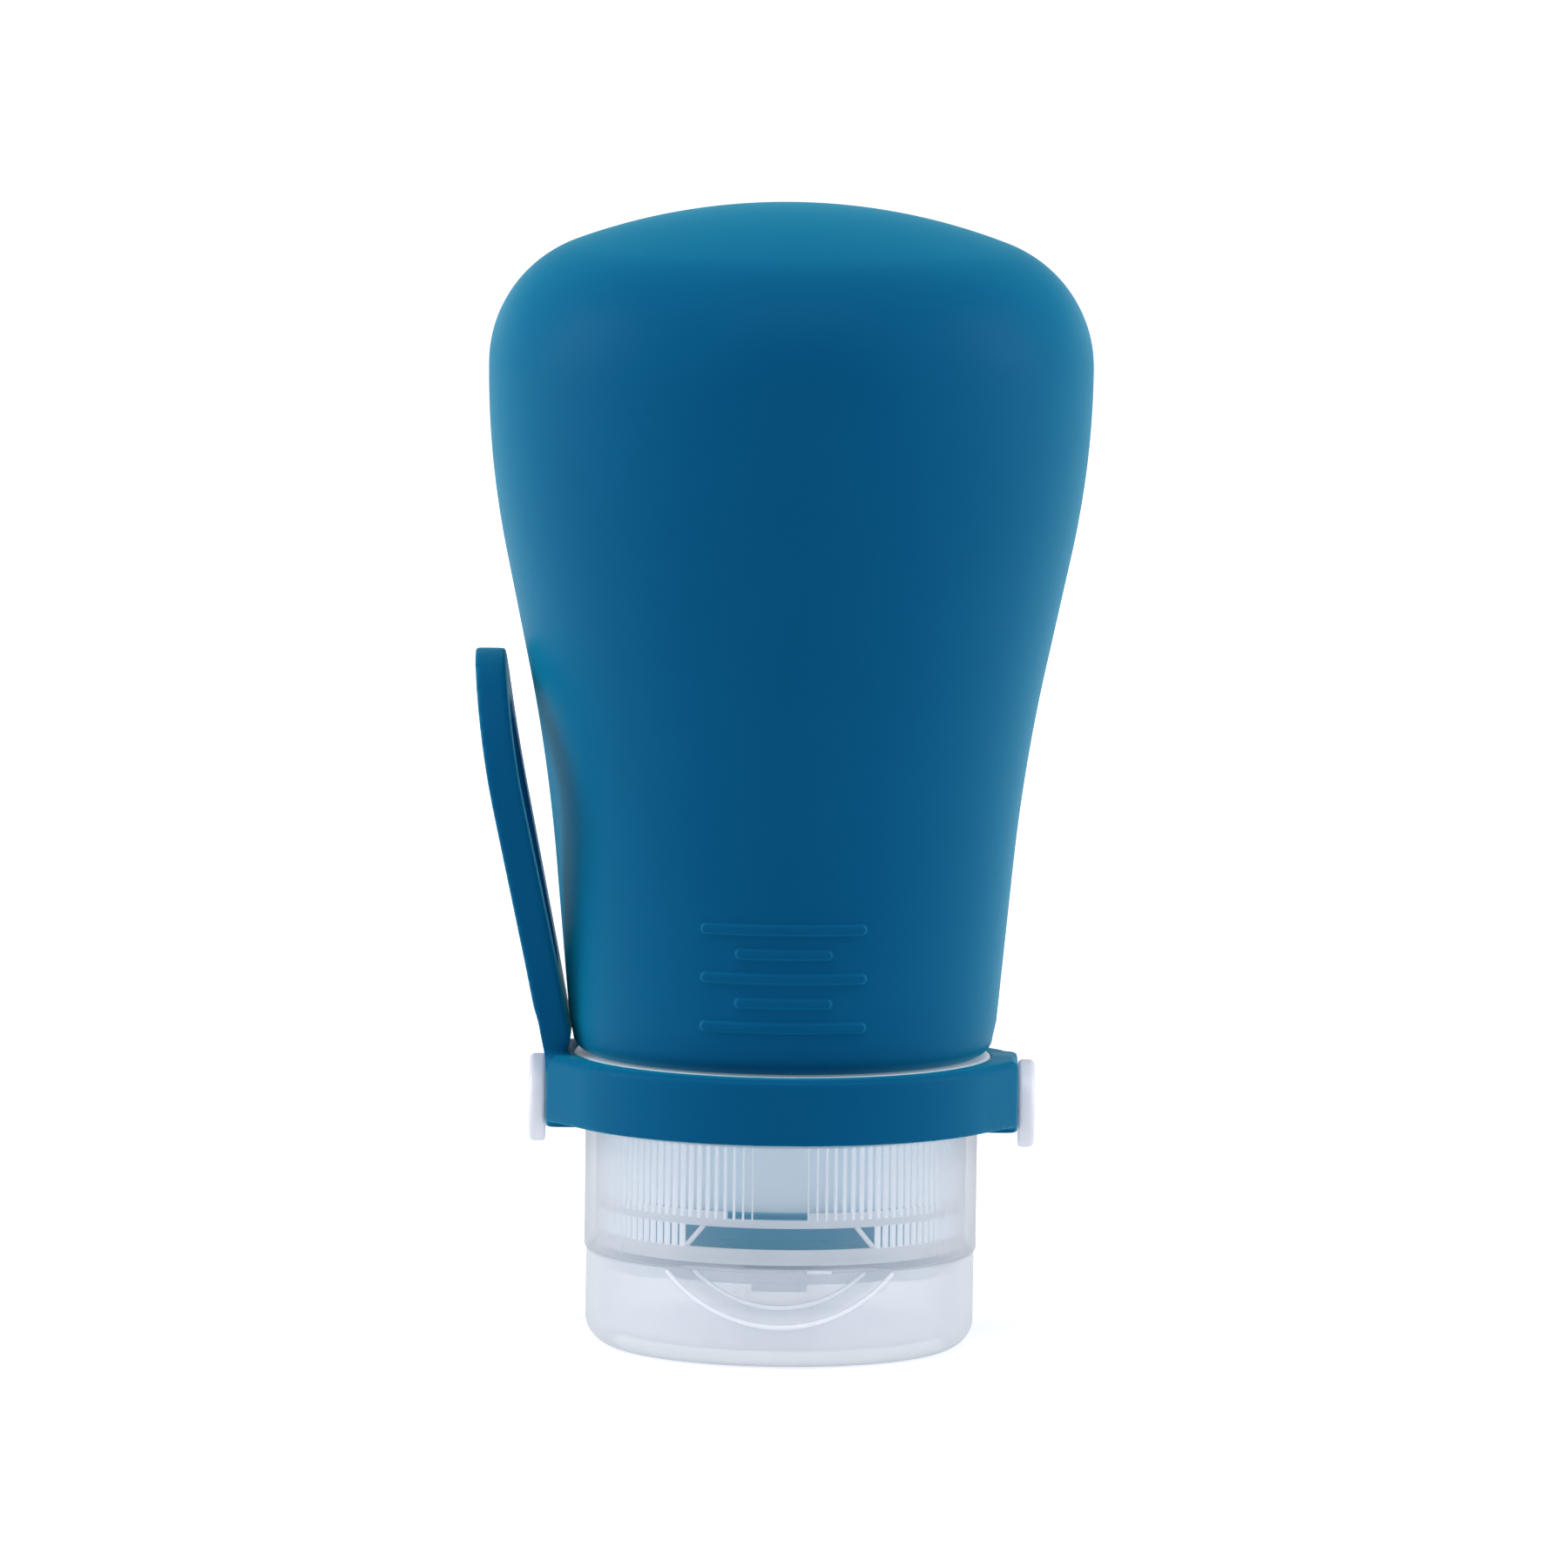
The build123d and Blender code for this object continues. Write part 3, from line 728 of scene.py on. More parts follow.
def settle_band(mesh):
    """Bends the loop's root on to its pad, thins the back and rounds the top edge."""
    places = np.empty(3 * len(mesh.vertices), np.float32)
    mesh.vertices.foreach_get("co", places)
    x, y, z = (places.reshape(-1, 3) / MM).T
    top = band_high.z
    above = z - top

    # The loop leans towards the bottle, and its root turns on to the pad's face.
    x += LOOP_LEAN * fade(above, -0.6, 1.8) * (x < -15)
    side = np.maximum(x, -PAD[0] - 0.05 - ROOT_BEND * fade(above, -0.8, 3))
    near = (1 - fade(above, 0.5, 3.5)) * (np.abs(y) < PAD[1] + 0.6)
    x = x + (side - x) * near

    # The upper edge comes down, most at the right of the back.
    drop = EDGE_DROP + BACK_DROP * fade(y, -2, 6) * fade(x, 4, 10)
    z -= drop * fade(above, -2.5, 1.5) * (1 - fade(above, 2, 6))
    top -= EDGE_DROP

    # Behind the pads the band is thinner.
    radius = np.hypot(x, y)
    over = np.maximum(radius - BAND_BACK, 0) * fade(y - PAD[1], 0.4, 2) * (z < top + 0.3)
    scale = 1 - over / radius
    x, y = x * scale, y * scale

    # The corner between the outer face and the top is pulled in to a round one.
    radius = np.hypot(x, y)
    across = (radius - (band_reach(x, y) - EDGE_ROUND)) / EDGE_ROUND
    up = (z - top) / EDGE_ROUND + 1
    corner = (across > 0) & (up > 0) & (z < top + 0.1)
    corner &= (x > -15.8) | (y < -PAD[1] - 0.3)
    reach = np.maximum(np.hypot(across, up), 1e-6)
    pull = np.where(corner, (1 - np.maximum(across, up) / reach) * eased(1 - y / 2), 0)
    scale = 1 - pull * across * EDGE_ROUND / radius
    x, y, z = x * scale, y * scale, z - pull * up * EDGE_ROUND
    mesh.vertices.foreach_set("co", (np.stack([x, y, z], 1) * MM).ravel())
    mesh.update()


class BOTTLE_OT_band(bpy.types.Operator):
    """Builds the carry band and loop as one soft moulding that bends at the root"""

    bl_idname = "bottle.band"
    bl_label = "Carry band and loop"

    def execute(self, context):
        mesh = bpy.data.meshes.new("band_and_loop")
        edit = bmesh.new()
        for name in ("carry_band", "carry_loop"):
            edit.from_mesh(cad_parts[name].data)
        # The loop's foot runs down into the pad, so that the two become one skin.
        half_x, half_y = ROOT_HALF
        foot = block(
            (ROOT_X - half_x, -half_y, band_high.z - 1.2), (ROOT_X + half_x, half_y, ROOT_HEIGHT + 0.5)
        )
        extra = new_mesh("loop_foot", together(foot, cheek(-1, -1), cheek(1, -1)))
        edit.from_mesh(extra)
        bmesh.ops.remove_doubles(edit, verts=edit.verts, dist=1e-7)
        edit.to_mesh(mesh)
        edit.free()
        bpy.data.meshes.remove(extra)
        piece = new_piece("band_and_loop", mesh)
        remesh = piece.modifiers.new("skin", "REMESH")
        remesh.mode = "VOXEL"
        remesh.voxel_size = context.scene.bottle_sizes.soft_edge
        smooth = piece.modifiers.new("soften", "SMOOTH")
        smooth.factor = 0.5
        smooth.iterations = 16
        evaluated(piece, "band_and_loop")
        settle_band(piece.data)
        piece.data.materials.clear()
        piece.data.materials.append(finish("silicone"))
        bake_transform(piece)
        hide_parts("carry_band", "carry_loop")
        return {"FINISHED"}


# Studs

STUD_HEAD = 3.4
HEAD_THICKNESS = 1.3
STUD_SHANK = 1.1
# Radius of the barb at its base and at its tip, and its length.
STUD_BARB = (1.35, 0.95, 0.6)


class BOTTLE_OT_studs(bpy.types.Operator):
    """Builds the two round-headed studs that pin the band"""

    bl_idname = "bottle.studs"
    bl_label = "Studs"

    def execute(self, context):
        tip, top = stud_low.x, stud_high.x
        face = top - HEAD_THICKNESS
        barb, point, barb_length = STUD_BARB
        outline = rounded(
            [
                (0, tip, 0),
                (point, tip, 0.15),
                (barb, tip + barb_length, 0.1),
                (STUD_SHANK, tip + barb_length + 0.05, 0),
                (STUD_SHANK, face, 0.1),
                (STUD_HEAD, face, 0.3),
                (STUD_HEAD, top, 0.45),
                (0, top, 0),
            ]
        )
        for name, side in (("right", 1), ("left", -1)):
            turn = Matrix.Rotation(side * math.pi / 2, 4, "Y")
            matrix = Matrix.Translation((0, 0, STUD_HEIGHT)) @ turn
            shape = placed(turned(outline, 64, closed=False), matrix)
            slot, node = "white_polypropylene", f"stud_{name}"
            crisp(f"stud_{name}_button", shape, "white", "bottle", slot, node, angle=60)
        return {"FINISHED"}


# Cap base

# Slot of every piece of the cap and the lid.
CLEAR = "clear_polypropylene"

# The spigot, the nozzle and the rim under the plate each have a bore and a radius.
RIB_CREST = 13.98
SKIN_BORE = 14.3
SKIN_RADIUS = 15.15
SPIGOT = (13.15, 14.15)
NOZZLE = (4.0, 4.92)
NOZZLE_TIP = 6.5
PLATE_RADIUS = 14.0
# Root and crest radius of the cap's thread, and the height where it starts.
CAP_THREAD = (13.3, 12.45, 19.05)
# The rim steps in behind the scoop, between these distances aside.
RIM = (12.88, 13.88)
RIM_MIDDLE = sum(RIM) / 2
RIM_LOW = 6.2
RIM_STEP = 1.72
RIM_STEP_START = 8.6
RIM_STEP_END = 10.6
# Low and high edge of the catch, and half its width.
CATCH = (5.65, 6.3)
CATCH_HALF = 2.05
# Ends of both hinge ears in X, and the bore for the pin.
EARS = ((3.1, 5.0), (-5.0, -3.1))
EAR_BORE = 0.65
# Ends in X of the opening over the lower ribs, and how far the band beside it rises.
OPENING = (-4.0, 2.1)
OPENING_HIGH = 0.55
# Half width of the window in the lower ribs, at its foot and at its head, and the
# distance of its edges from the axis.
WINDOW_HALF = (7.15, 5.85)
WINDOW_REACH = 13.95
WINDOW_HIGHLIGHT_RADIUS = 0.2
# Ends in X of the moulding nub, and its radius.
NUB = (2.1, 4.0)
NUB_RADIUS = 0.14
# Heights of each tier of ribs, half its bare stretch in front, and the distance
# aside from which its ribs have their full width.
TIERS = (("lower", LOWER_RIBS, 7.2, 7.21), ("upper", UPPER_RIBS, 2.0, 8.0))
# Share of their width that the ribs keep beside the bare stretch.
LEAST_RIB = 0.2


def rib_tree():
    """Geometry Nodes tree that sets rounded ribs round a ring, less a front window."""
    # Its sizes are in metres.
    tree = bpy.data.node_groups.new("ribs_round_ring", "GeometryNodeTree")
    face = tree.interface
    face.new_socket("Geometry", in_out="OUTPUT", socket_type="NodeSocketGeometry")
    wanted = [
        ("Count", "NodeSocketInt", 124),
        ("Radius", "NodeSocketFloat", 0.014),
        ("Width", "NodeSocketFloat", 0.0004),
        ("Depth", "NodeSocketFloat", 0.0006),
        ("Low", "NodeSocketFloat", 0.0),
        ("High", "NodeSocketFloat", 0.002),
        ("Window", "NodeSocketFloat", 0.0),
        ("Full", "NodeSocketFloat", 0.001),
        ("Material", "NodeSocketMaterial", None),
    ]
    for name, kind, value in wanted:
        socket = face.new_socket(name, in_out="INPUT", socket_type=kind)
        if value is not None:
            socket.default_value = value
    given = add(tree, "NodeGroupInput")
    high, low, width = given["High"], given["Low"], given["Width"]
    tall = add(tree, "ShaderNodeMath", {0: high, 1: low}, operation="SUBTRACT")[0]
    twice = add(tree, "ShaderNodeMath", {0: high, 1: low}, operation="ADD")[0]
    middle = add(tree, "ShaderNodeMath", {0: twice, 1: 0.5}, operation="MULTIPLY")[0]
    thin = add(tree, "ShaderNodeMath", {0: width, 1: 0.5}, operation="MULTIPLY")[0]

    # Places round the ring, less those in the bare stretch at the front.
    sizes = {"Vertices": given["Count"], "Radius": given["Radius"]}
    ring = add(tree, "GeometryNodeMeshCircle", sizes)[0]
    spot = add(tree, "GeometryNodeInputPosition")[0]
    parts = add(tree, "ShaderNodeSeparateXYZ", {0: spot})
    in_front = add(tree, "FunctionNodeCompare", {0: parts[1], 1: 0.0}, operation="LESS_THAN")[0]
    aside = add(tree, "ShaderNodeMath", {0: parts[0]}, operation="ABSOLUTE")[0]
    near = add(tree, "FunctionNodeCompare", {0: aside, 1: given["Window"]}, operation="LESS_THAN")[0]
    both = add(tree, "FunctionNodeBooleanMath", {0: in_front, 1: near}, operation="AND")[0]
    left_out = {"Geometry": ring, "Selection": both}
    kept = add(tree, "GeometryNodeDeleteGeometry", left_out, domain="POINT")[0]

    # One rib, a flattened rod.
    sizes = {"Vertices": 12, "Radius": thin, "Depth": tall}
    bar = add(tree, "GeometryNodeMeshCylinder", sizes)["Mesh"]
    stretch = add(tree, "ShaderNodeMath", {0: given["Depth"], 1: width}, operation="DIVIDE")[0]
    scale = add(tree, "ShaderNodeCombineXYZ", {0: stretch, 1: 1.0, 2: 1.0})[0]
    lift = add(tree, "ShaderNodeCombineXYZ", {2: middle})[0]
    moves = {"Geometry": bar, "Translation": lift, "Scale": scale}
    shaped = add(tree, "GeometryNodeTransform", moves)[0]
    facing = {"Vector": spot}
    turn = add(tree, "FunctionNodeAlignRotationToVector", facing, axis="X", pivot_axis="Z")[0]

    # Ribs at the front thin out towards the window.
    limits = {"From Min": given["Window"], "From Max": given["Full"], "To Min": LEAST_RIB}
    growth = add(tree, "ShaderNodeMapRange", {"Value": aside, **limits})[0]
    front = add(tree, "ShaderNodeMath", {0: parts[1], 1: 0.0}, operation="LESS_THAN")[0]
    share = add(tree, "ShaderNodeMix", {0: front, 2: 1.0, 3: growth}, data_type="FLOAT")[0]
    slim = add(tree, "ShaderNodeCombineXYZ", {0: 1.0, 1: share, 2: 1.0})[0]

    copied = {"Points": kept, "Instance": shaped, "Rotation": turn, "Scale": slim}
    copies = add(tree, "GeometryNodeInstanceOnPoints", copied)[0]
    real = add(tree, "GeometryNodeRealizeInstances", {"Geometry": copies})[0]
    smooth = add(tree, "GeometryNodeSetShadeSmooth", {"Geometry": real})[0]
    finished = {"Geometry": smooth, "Material": given["Material"]}
    painted = add(tree, "GeometryNodeSetMaterial", finished)[0]
    add(tree, "NodeGroupOutput", {0: painted})
    return tree


def ribs(name, tree, values):
    """One tier of ribs from the tree, turned into a plain mesh."""
    piece = new_piece(name, bpy.data.meshes.new(name))
    modifier = piece.modifiers.new("ribs", "NODES")
    modifier.node_group = tree
    for item in tree.interface.items_tree:
        if item.in_out == "INPUT" and item.name in values:
            modifier[item.identifier] = values[item.name]
    evaluated(piece, name)
    sharpened(piece)
    mounted(piece, "cap", CLEAR)


def eared(start, end):
    """Hinge ear between two places in X: eye and web."""
    eye = ring_section(EAR_BORE, HINGE_EYE, start, end, (0.1, 0.25, 0.25, 0.1))
    web = block((start, SKIN_RADIUS - 0.6, HINGE[1]), (end, HINGE[0] - 0.6, HINGE[1] + HINGE_WEB))
    return together(on_hinge(turned(eye, 40)), web)


def middle_band(low, high):
    """Section of a band between the two tiers of ribs."""
    return ring_section(RIB_CREST, SKIN_BORE - OVERLAP, low, high, (0.1, 0, 0, 0.1))


def rim_shape():
    """Rim under the plate that steps inwards behind the lid's thumb scoop."""
    section = ring_section(*RIM, RIM_LOW, PLATE[0] + 0.02, (0.25, 0.3, 0, 0))
    angles = np.radians(np.arange(360))
    radius, height = spread(section, angles)
    aside = np.abs(RIM_MIDDLE * np.cos(angles))
    step = RIM_STEP * eased((RIM_STEP_END - aside) / (RIM_STEP_END - RIM_STEP_START))
    radius = radius - np.where(np.sin(angles) < 0, step, 0)
    return grid(revolved(radius, angles, height), True, True)


def catch_shape():
    """Short catch under the stepped part of the rim."""
    section = ring_section(RIM[0] - RIM_STEP, RIM[1] - RIM_STEP, *CATCH, (0.2, 0.2, 0, 0))
    half = side_angle(CATCH_HALF, RIM_MIDDLE - RIM_STEP)
    return turned(section, 20, -90 - half, -90 + half)


def cap_wall_shape():
    """Outer skin of the cap with its spigot and screw thread."""
    bore, radius = SPIGOT
    spigot_top = cap_high.z
    foot = UPPER_RIBS[1] + OVERLAP
    skin = rounded(
        [
            (SKIN_BORE, PARTING, 0.1),
            (SKIN_RADIUS, PARTING, 0.25),
            (SKIN_RADIUS, CAP_TOP, 0.35),
            (radius, CAP_TOP, 0.15),
            (radius, spigot_top, 0.2),
            (bore, spigot_top, 0.2),
            (bore, foot, 0.1),
            (SKIN_BORE, foot, 0.1),
        ]
    )
    return together(turned(skin, 300), screw_thread(*CAP_THREAD))


def cap_lining_shape():
    """Plate, bands between the tiers of ribs, and hinge ears."""
    bore, reach = NOZZLE[1] - 0.02, SKIN_BORE - OVERLAP
    plate = rounded(
        [
            (bore, PLATE[0], 0),
            (reach, PLATE[0], 0),
            (reach, LOWER_RIBS[0], 0),
            (PLATE_RADIUS, LOWER_RIBS[0], 0.1),
            (PLATE_RADIUS, PLATE[1], 0.15),
            (bore, PLATE[1], 0),
        ]
    )
    low = UPPER_RIBS[0]
    middle = turned(middle_band(LOWER_RIBS[1], low), 300)
    # The band is taller all round but for a short opening at the front.
    ends = (side_angle(OPENING[1], RIB_CREST) - 90, side_angle(OPENING[0], RIB_CREST) + 270)
    taller = turned(middle_band(low - 0.2, low + OPENING_HIGH), 300, *ends)
    return together(turned(plate, 300), middle, taller, *[eared(*ear) for ear in EARS])


class BOTTLE_OT_cap(bpy.types.Operator):
    """Builds the translucent cap base with its ribs, plate, nozzle, rim and ears"""

    bl_idname = "bottle.cap"
    bl_label = "Cap base"

    def execute(self, context):
        sizes = context.scene.bottle_sizes
        crisp("cap_wall", cap_wall_shape(), "skin", "cap", CLEAR, "cap_base")
        crisp("cap_lining", cap_lining_shape(), "milky", "cap", CLEAR)
        crisp("cap_rim", together(rim_shape(), catch_shape()), "rim", "cap", CLEAR)
        spout = ring_section(*NOZZLE, NOZZLE_TIP, PLATE[1], (0.15, 0.2, 0, 0.15))
        crisp("cap_nozzle", turned(spout, 96), "plug", "cap", CLEAR)

        # Tiny nub on the skirt where the mould was filled.
        y, z = -SKIN_RADIUS + 0.15, PARTING + 0.12
        nub = rod_along([Vector((x, y, z)) for x in np.linspace(*NUB, 5)], NUB_RADIUS)
        mounted(mesh_piece("cap_nub", nub, finish("milky")), "cap", CLEAR)

        tree = rib_tree()
        depth = SKIN_BORE - RIB_CREST
        shared = {
            "Count": sizes.rib_count,
            "Radius": (RIB_CREST + depth / 2) * MM,
            "Width": sizes.rib_width,
            "Depth": depth * MM,
            "Material": finish("rib"),
        }
        for name, (low, high), window, full in TIERS:
            values = dict(shared, Low=(low - OVERLAP) * MM, High=(high + OVERLAP) * MM)
            values.update(Window=window * MM, Full=full * MM)
            ribs(f"cap_ribs_{name}", tree, values)

        # Painted highlights: glowing rods along the slanted edges of the bare window in the lower tier.
        edges = []
        slope = list(zip(np.linspace(*WINDOW_HALF, 9), np.linspace(*LOWER_RIBS, 9)))
        for side in (-1, 1):
            places = [Vector((side * x, -math.sqrt(WINDOW_REACH**2 - x**2), z)) for x, z in slope]
            edges.append(rod_along(places, WINDOW_HIGHLIGHT_RADIUS))
        mounted(mesh_piece("cap_window_painted_highlights", together(*edges), finish("edge")), "cap", CLEAR)
        return {"FINISHED"}


# Flip lid

LID_RADIUS = lid_high.x
LID_WALL = 1.0
LID_FLOOR = 1.2
LID_CORNER = 2.2
LID_FILLET = 1.2
LID_LIP = 0.2
SCOOP_ARCH = 11.5
SCOOP_CENTRE = 14.75
SCOOP_HIGHLIGHT_RADIUS = 0.19
PLUG = (2.7, 3.6)
PLUG_TIP = 7.4
KNUCKLE_HALF = 2.9
# Radius of the hinge pin and half its length.
PIN = (0.6, 4.8)


def lid_shape(depth, bevel):
    """Cup of the lid as one closed skin, with the thumb scoop pressed in."""
    bore, brim = LID_RADIUS - LID_WALL, LID_RIM - LID_LIP
    corner, fillet = LID_RADIUS - LID_CORNER, bore - LID_FILLET
    floor = LID_FLOOR + LID_FILLET
    outer = [(r, 0.0) for r in np.linspace(0, corner, 12)]
    outer += arc((corner, LID_CORNER), LID_CORNER, -90, 0, 18)[1:]
    outer += [(LID_RADIUS, z) for z in np.linspace(LID_CORNER, brim, 46)[1:]]
    outer += arc((LID_RADIUS - LID_LIP, brim), LID_LIP, 0, 90, 4)[1:]
    inner = arc((bore + LID_LIP, brim), LID_LIP, 90, 180, 4)
    inner += [(bore, z) for z in np.linspace(brim, floor, 40)[1:]]
    inner += arc((fillet, floor), LID_FILLET, 0, -90, 10)[1:]
    inner += [(r, LID_FLOOR) for r in np.linspace(fillet, 0, 10)[1:]]
    angles = front_first(half=50, across=180, rest=130)
    radius, height = spread(outer + inner, angles)
    # The scoop is an arch on the front, and the wall keeps its thickness behind it.
    x = LID_RADIUS * np.cos(angles)
    arch = SCOOP_CENTRE - np.sqrt(np.maximum(SCOOP_ARCH**2 - x**2, 0))
    pressed = LID_RADIUS - depth * fade(height, arch, bevel)
    pressed[len(outer) :] -= LID_WALL
    radius = np.where(np.sin(angles) < 0, np.minimum(radius, pressed), radius)
    return grid(revolved(radius, angles, height), False, True)


def scoop_highlight_rod(shift, reach):
    """Painted highlight: a rod along the scoop's arch, moved up by a shift, at a distance from the axis.
    """
    top = math.degrees(math.acos((SCOOP_CENTRE + shift - LID_RIM + 0.2) / SCOOP_ARCH))
    places = []
    for t in np.radians(np.linspace(-top, top, 61)):
        x, z = SCOOP_ARCH * math.sin(t), SCOOP_CENTRE + shift - SCOOP_ARCH * math.cos(t)
        turn = math.asin(x / LID_RADIUS)
        places.append(Vector((reach * math.sin(turn), -reach * math.cos(turn), z)))
    return rod_along(places, SCOOP_HIGHLIGHT_RADIUS)


def hinge_bar(radius, half, edge, columns):
    """Round bar along the hinge's axis, with rounded ends."""
    outline = ring_section(0, radius, -half, half, (0, edge, edge, 0))
    return on_hinge(turned(outline, columns, closed=False))


class BOTTLE_OT_lid(bpy.types.Operator):
    """Builds the flip lid with its thumb scoop, plug and hinge knuckle"""

    bl_idname = "bottle.lid"
    bl_label = "Flip lid"

    def execute(self, context):
        sizes = context.scene.bottle_sizes
        depth, bevel = sizes.scoop_depth / MM, sizes.scoop_bevel / MM
        crisp("lid_cup", lid_shape(depth, bevel), "lid", "lid", CLEAR, "flip_lid")

        # Painted highlights: glowing rods in the two edges of the scoop's slope, where light gathers.
        highlight_rods = [scoop_highlight_rod(0.05, LID_RADIUS - 0.02), scoop_highlight_rod(bevel, LID_RADIUS - depth + 0.05)]
        mounted(mesh_piece("lid_scoop_painted_highlights", together(*highlight_rods), finish("edge")), "lid", CLEAR)

        plug = ring_section(*PLUG, LID_FLOOR - OVERLAP, PLUG_TIP, (0, 0, 0.25, 0.2))
        knuckle = hinge_bar(HINGE_EYE, KNUCKLE_HALF, 0.25, 40)
        pin = hinge_bar(*PIN, 0.12, 32)
        half = KNUCKLE_HALF - OVERLAP
        web = block(
            (-half, LID_RADIUS - 0.5, HINGE[1] - HINGE_WEB), (half, HINGE[0] - 0.4, LID_RIM - 0.02)
        )
        inner = together(turned(plug, 96), knuckle, pin, web)
        crisp("lid_plug_and_knuckle", inner, "plug", "lid", CLEAR)
        return {"FINISHED"}


# Neck sleeve and valve seal

SLEEVE = (10.95, 12.3)
SLEEVE_THREAD = 13.0
COLLAR = (15.1, 16.1)
COLLAR_FOOT = 17.45
COLLAR_PLATE = 0.8


class BOTTLE_OT_insides(bpy.types.Operator):
    """Builds the threaded neck sleeve and gives the valve seal its material"""

    bl_idname = "bottle.insides"
    bl_label = "Sleeve and seal"

    def execute(self, context):
        plate = COLLAR_TOP - COLLAR_PLATE
        tube = rounded(
            [
                (SLEEVE[0], sleeve_low.z, 0.15),
                (SLEEVE[1], sleeve_low.z, 0.15),
                (SLEEVE[1], plate, 0.2),
                (COLLAR[0], plate, 0.2),
                (COLLAR[0], COLLAR_FOOT, 0.15),
                (COLLAR[1], COLLAR_FOOT, 0.15),
                (COLLAR[1], COLLAR_TOP, 0.4),
                (SLEEVE[0], COLLAR_TOP, 0.1),
            ]
        )
        thread = screw_thread(SLEEVE[1] - OVERLAP, SLEEVE_THREAD, COLLAR_FOOT + 0.55)
        shape = together(turned(tube), thread)
        crisp("neck_sleeve_moulding", shape, "sleeve", "bottle", "white_polypropylene", "neck_sleeve")
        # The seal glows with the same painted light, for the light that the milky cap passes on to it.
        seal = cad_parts["valve_seal"]
        seal.data.materials.clear()
        seal.data.materials.append(finish("silicone_painted_glow"))
        return {"FINISHED"}


# Stage

FLOOR_HALF = 4000
# Size, power in watts and place of each soft light.
SOFTBOXES = (
    ("left_softbox", (300, 500), 2.7, (-680, 20, 310)),
    ("right_softbox", (300, 500), 2.2, (680, 20, 310)),
    ("top_softbox", (400, 300), 1.28, (0, -250, 550)),
    ("back_softbox", (500, 300), 0.5, (0, 700, 200)),
)
LIT_SPOT = (0, 0, 45)
# Reflections find the room in front of the object and above it dimmer. Each row is
# an axis, where the change starts and ends along it, and the levels there.
ROOM = ((1, 0.4, 1.0, 0.25, 1.1), (2, 0.0, 0.25, 1.0, 0.15))
CAMERA_DISTANCE = 1257.0
CAMERA_HEIGHT = 182.0
AIM_HEIGHT = 43.53
FRAME_WIDTH = 121.0
CAMERA_ROLL = 0.756
CAMERA_SHIFT = -0.00125
SENSOR = 36


def softbox(name, size, power, place):
    """Rectangular soft light that looks at the bottle's middle."""
    light = bpy.data.lights.new(name, "AREA")
    light.shape = "RECTANGLE"
    light.size, light.size_y = size[0] * MM, size[1] * MM
    light.energy = power
    lamp = new_piece(name, light)
    lamp.location = Vector(place) * MM
    direction = Vector(LIT_SPOT) - Vector(place)
    lamp.rotation_euler = direction.to_track_quat("-Z", "Y").to_euler()
    return lamp


def seen_rays(tree, *others):
    """Socket that is 1 for rays from the camera and for the other kinds named."""
    path = add(tree, "ShaderNodeLightPath")
    seen = path["Is Camera Ray"]
    for key in others:
        seen = add(tree, "ShaderNodeMath", {0: seen, 1: path[key]}, operation="MAXIMUM")[0]
    return seen


def white_surround(scene):
    """World that lights evenly and looks white to the camera and to reflections."""
    world = bpy.data.worlds.new("white_surround")
    scene.world = world
    world.use_nodes = True
    tree = world.node_tree
    tree.nodes.clear()
    way = add(tree, "ShaderNodeTexCoord")["Generated"]
    parts = add(tree, "ShaderNodeSeparateXYZ", {0: way})
    levels = []
    for axis, start, end, low, high in ROOM:
        limits = {"From Min": start, "From Max": end, "To Min": low, "To Max": high}
        inputs = {"Value": parts[axis], **limits}
        levels.append(add(tree, "ShaderNodeMapRange", inputs, interpolation_type="SMOOTHSTEP")[0])
    room = add(tree, "ShaderNodeMath", {0: levels[0], 1: levels[1]}, operation="MULTIPLY")[0]
    straight = seen_rays(tree)
    strength = add(tree, "ShaderNodeMath", {0: room, 1: straight}, operation="MAXIMUM")[0]
    lit = add(tree, "ShaderNodeBackground", {"Color": linear("#F4F7FF"), "Strength": 0.38})[0]
    shown = add(tree, "ShaderNodeBackground", {"Color": (1, 1, 1, 1), "Strength": strength})[0]
    seen = seen_rays(tree, "Is Glossy Ray", "Is Transmission Ray")
    mixed = add(tree, "ShaderNodeMixShader", {0: seen, 1: lit, 2: shown})[0]
    add(tree, "ShaderNodeOutputWorld", {"Surface": mixed})


def floor_paint():
    """White matt floor that stays white to the camera outside the shadow."""
    material, tree, place = new_material("white_matt_floor")
    # Barely visible paper tooth, 2 mm across.
    normal = fine_skin(tree, place, size=2, strength=0.05, depth=0.02)[1]
    matt = add(tree, "ShaderNodeBsdfDiffuse", {"Color": linear("#F7F7F7"), "Normal": normal})[0]
    # The glow grows with the distance in metres, where the lamps reach less.
    away = add(tree, "ShaderNodeVectorMath", {0: place}, operation="LENGTH")["Value"]
    limits = {"Value": away, "From Min": 0.2, "From Max": 0.7, "To Min": 0.38, "To Max": 0.72}
    level = add(tree, "ShaderNodeMapRange", limits)[0]
    glow = add(tree, "ShaderNodeEmission", {"Color": (1, 1, 1, 1), "Strength": level})[0]
    nothing = add(tree, "ShaderNodeEmission", {"Color": (0, 0, 0, 1), "Strength": 0.0})[0]
    seen = seen_rays(tree, "Is Transmission Ray")
    chosen = add(tree, "ShaderNodeMixShader", {0: seen, 1: nothing, 2: glow})[0]
    both = add(tree, "ShaderNodeAddShader", {0: matt, 1: chosen})[0]
    add(tree, "ShaderNodeOutputMaterial", {"Surface": both})
    return material


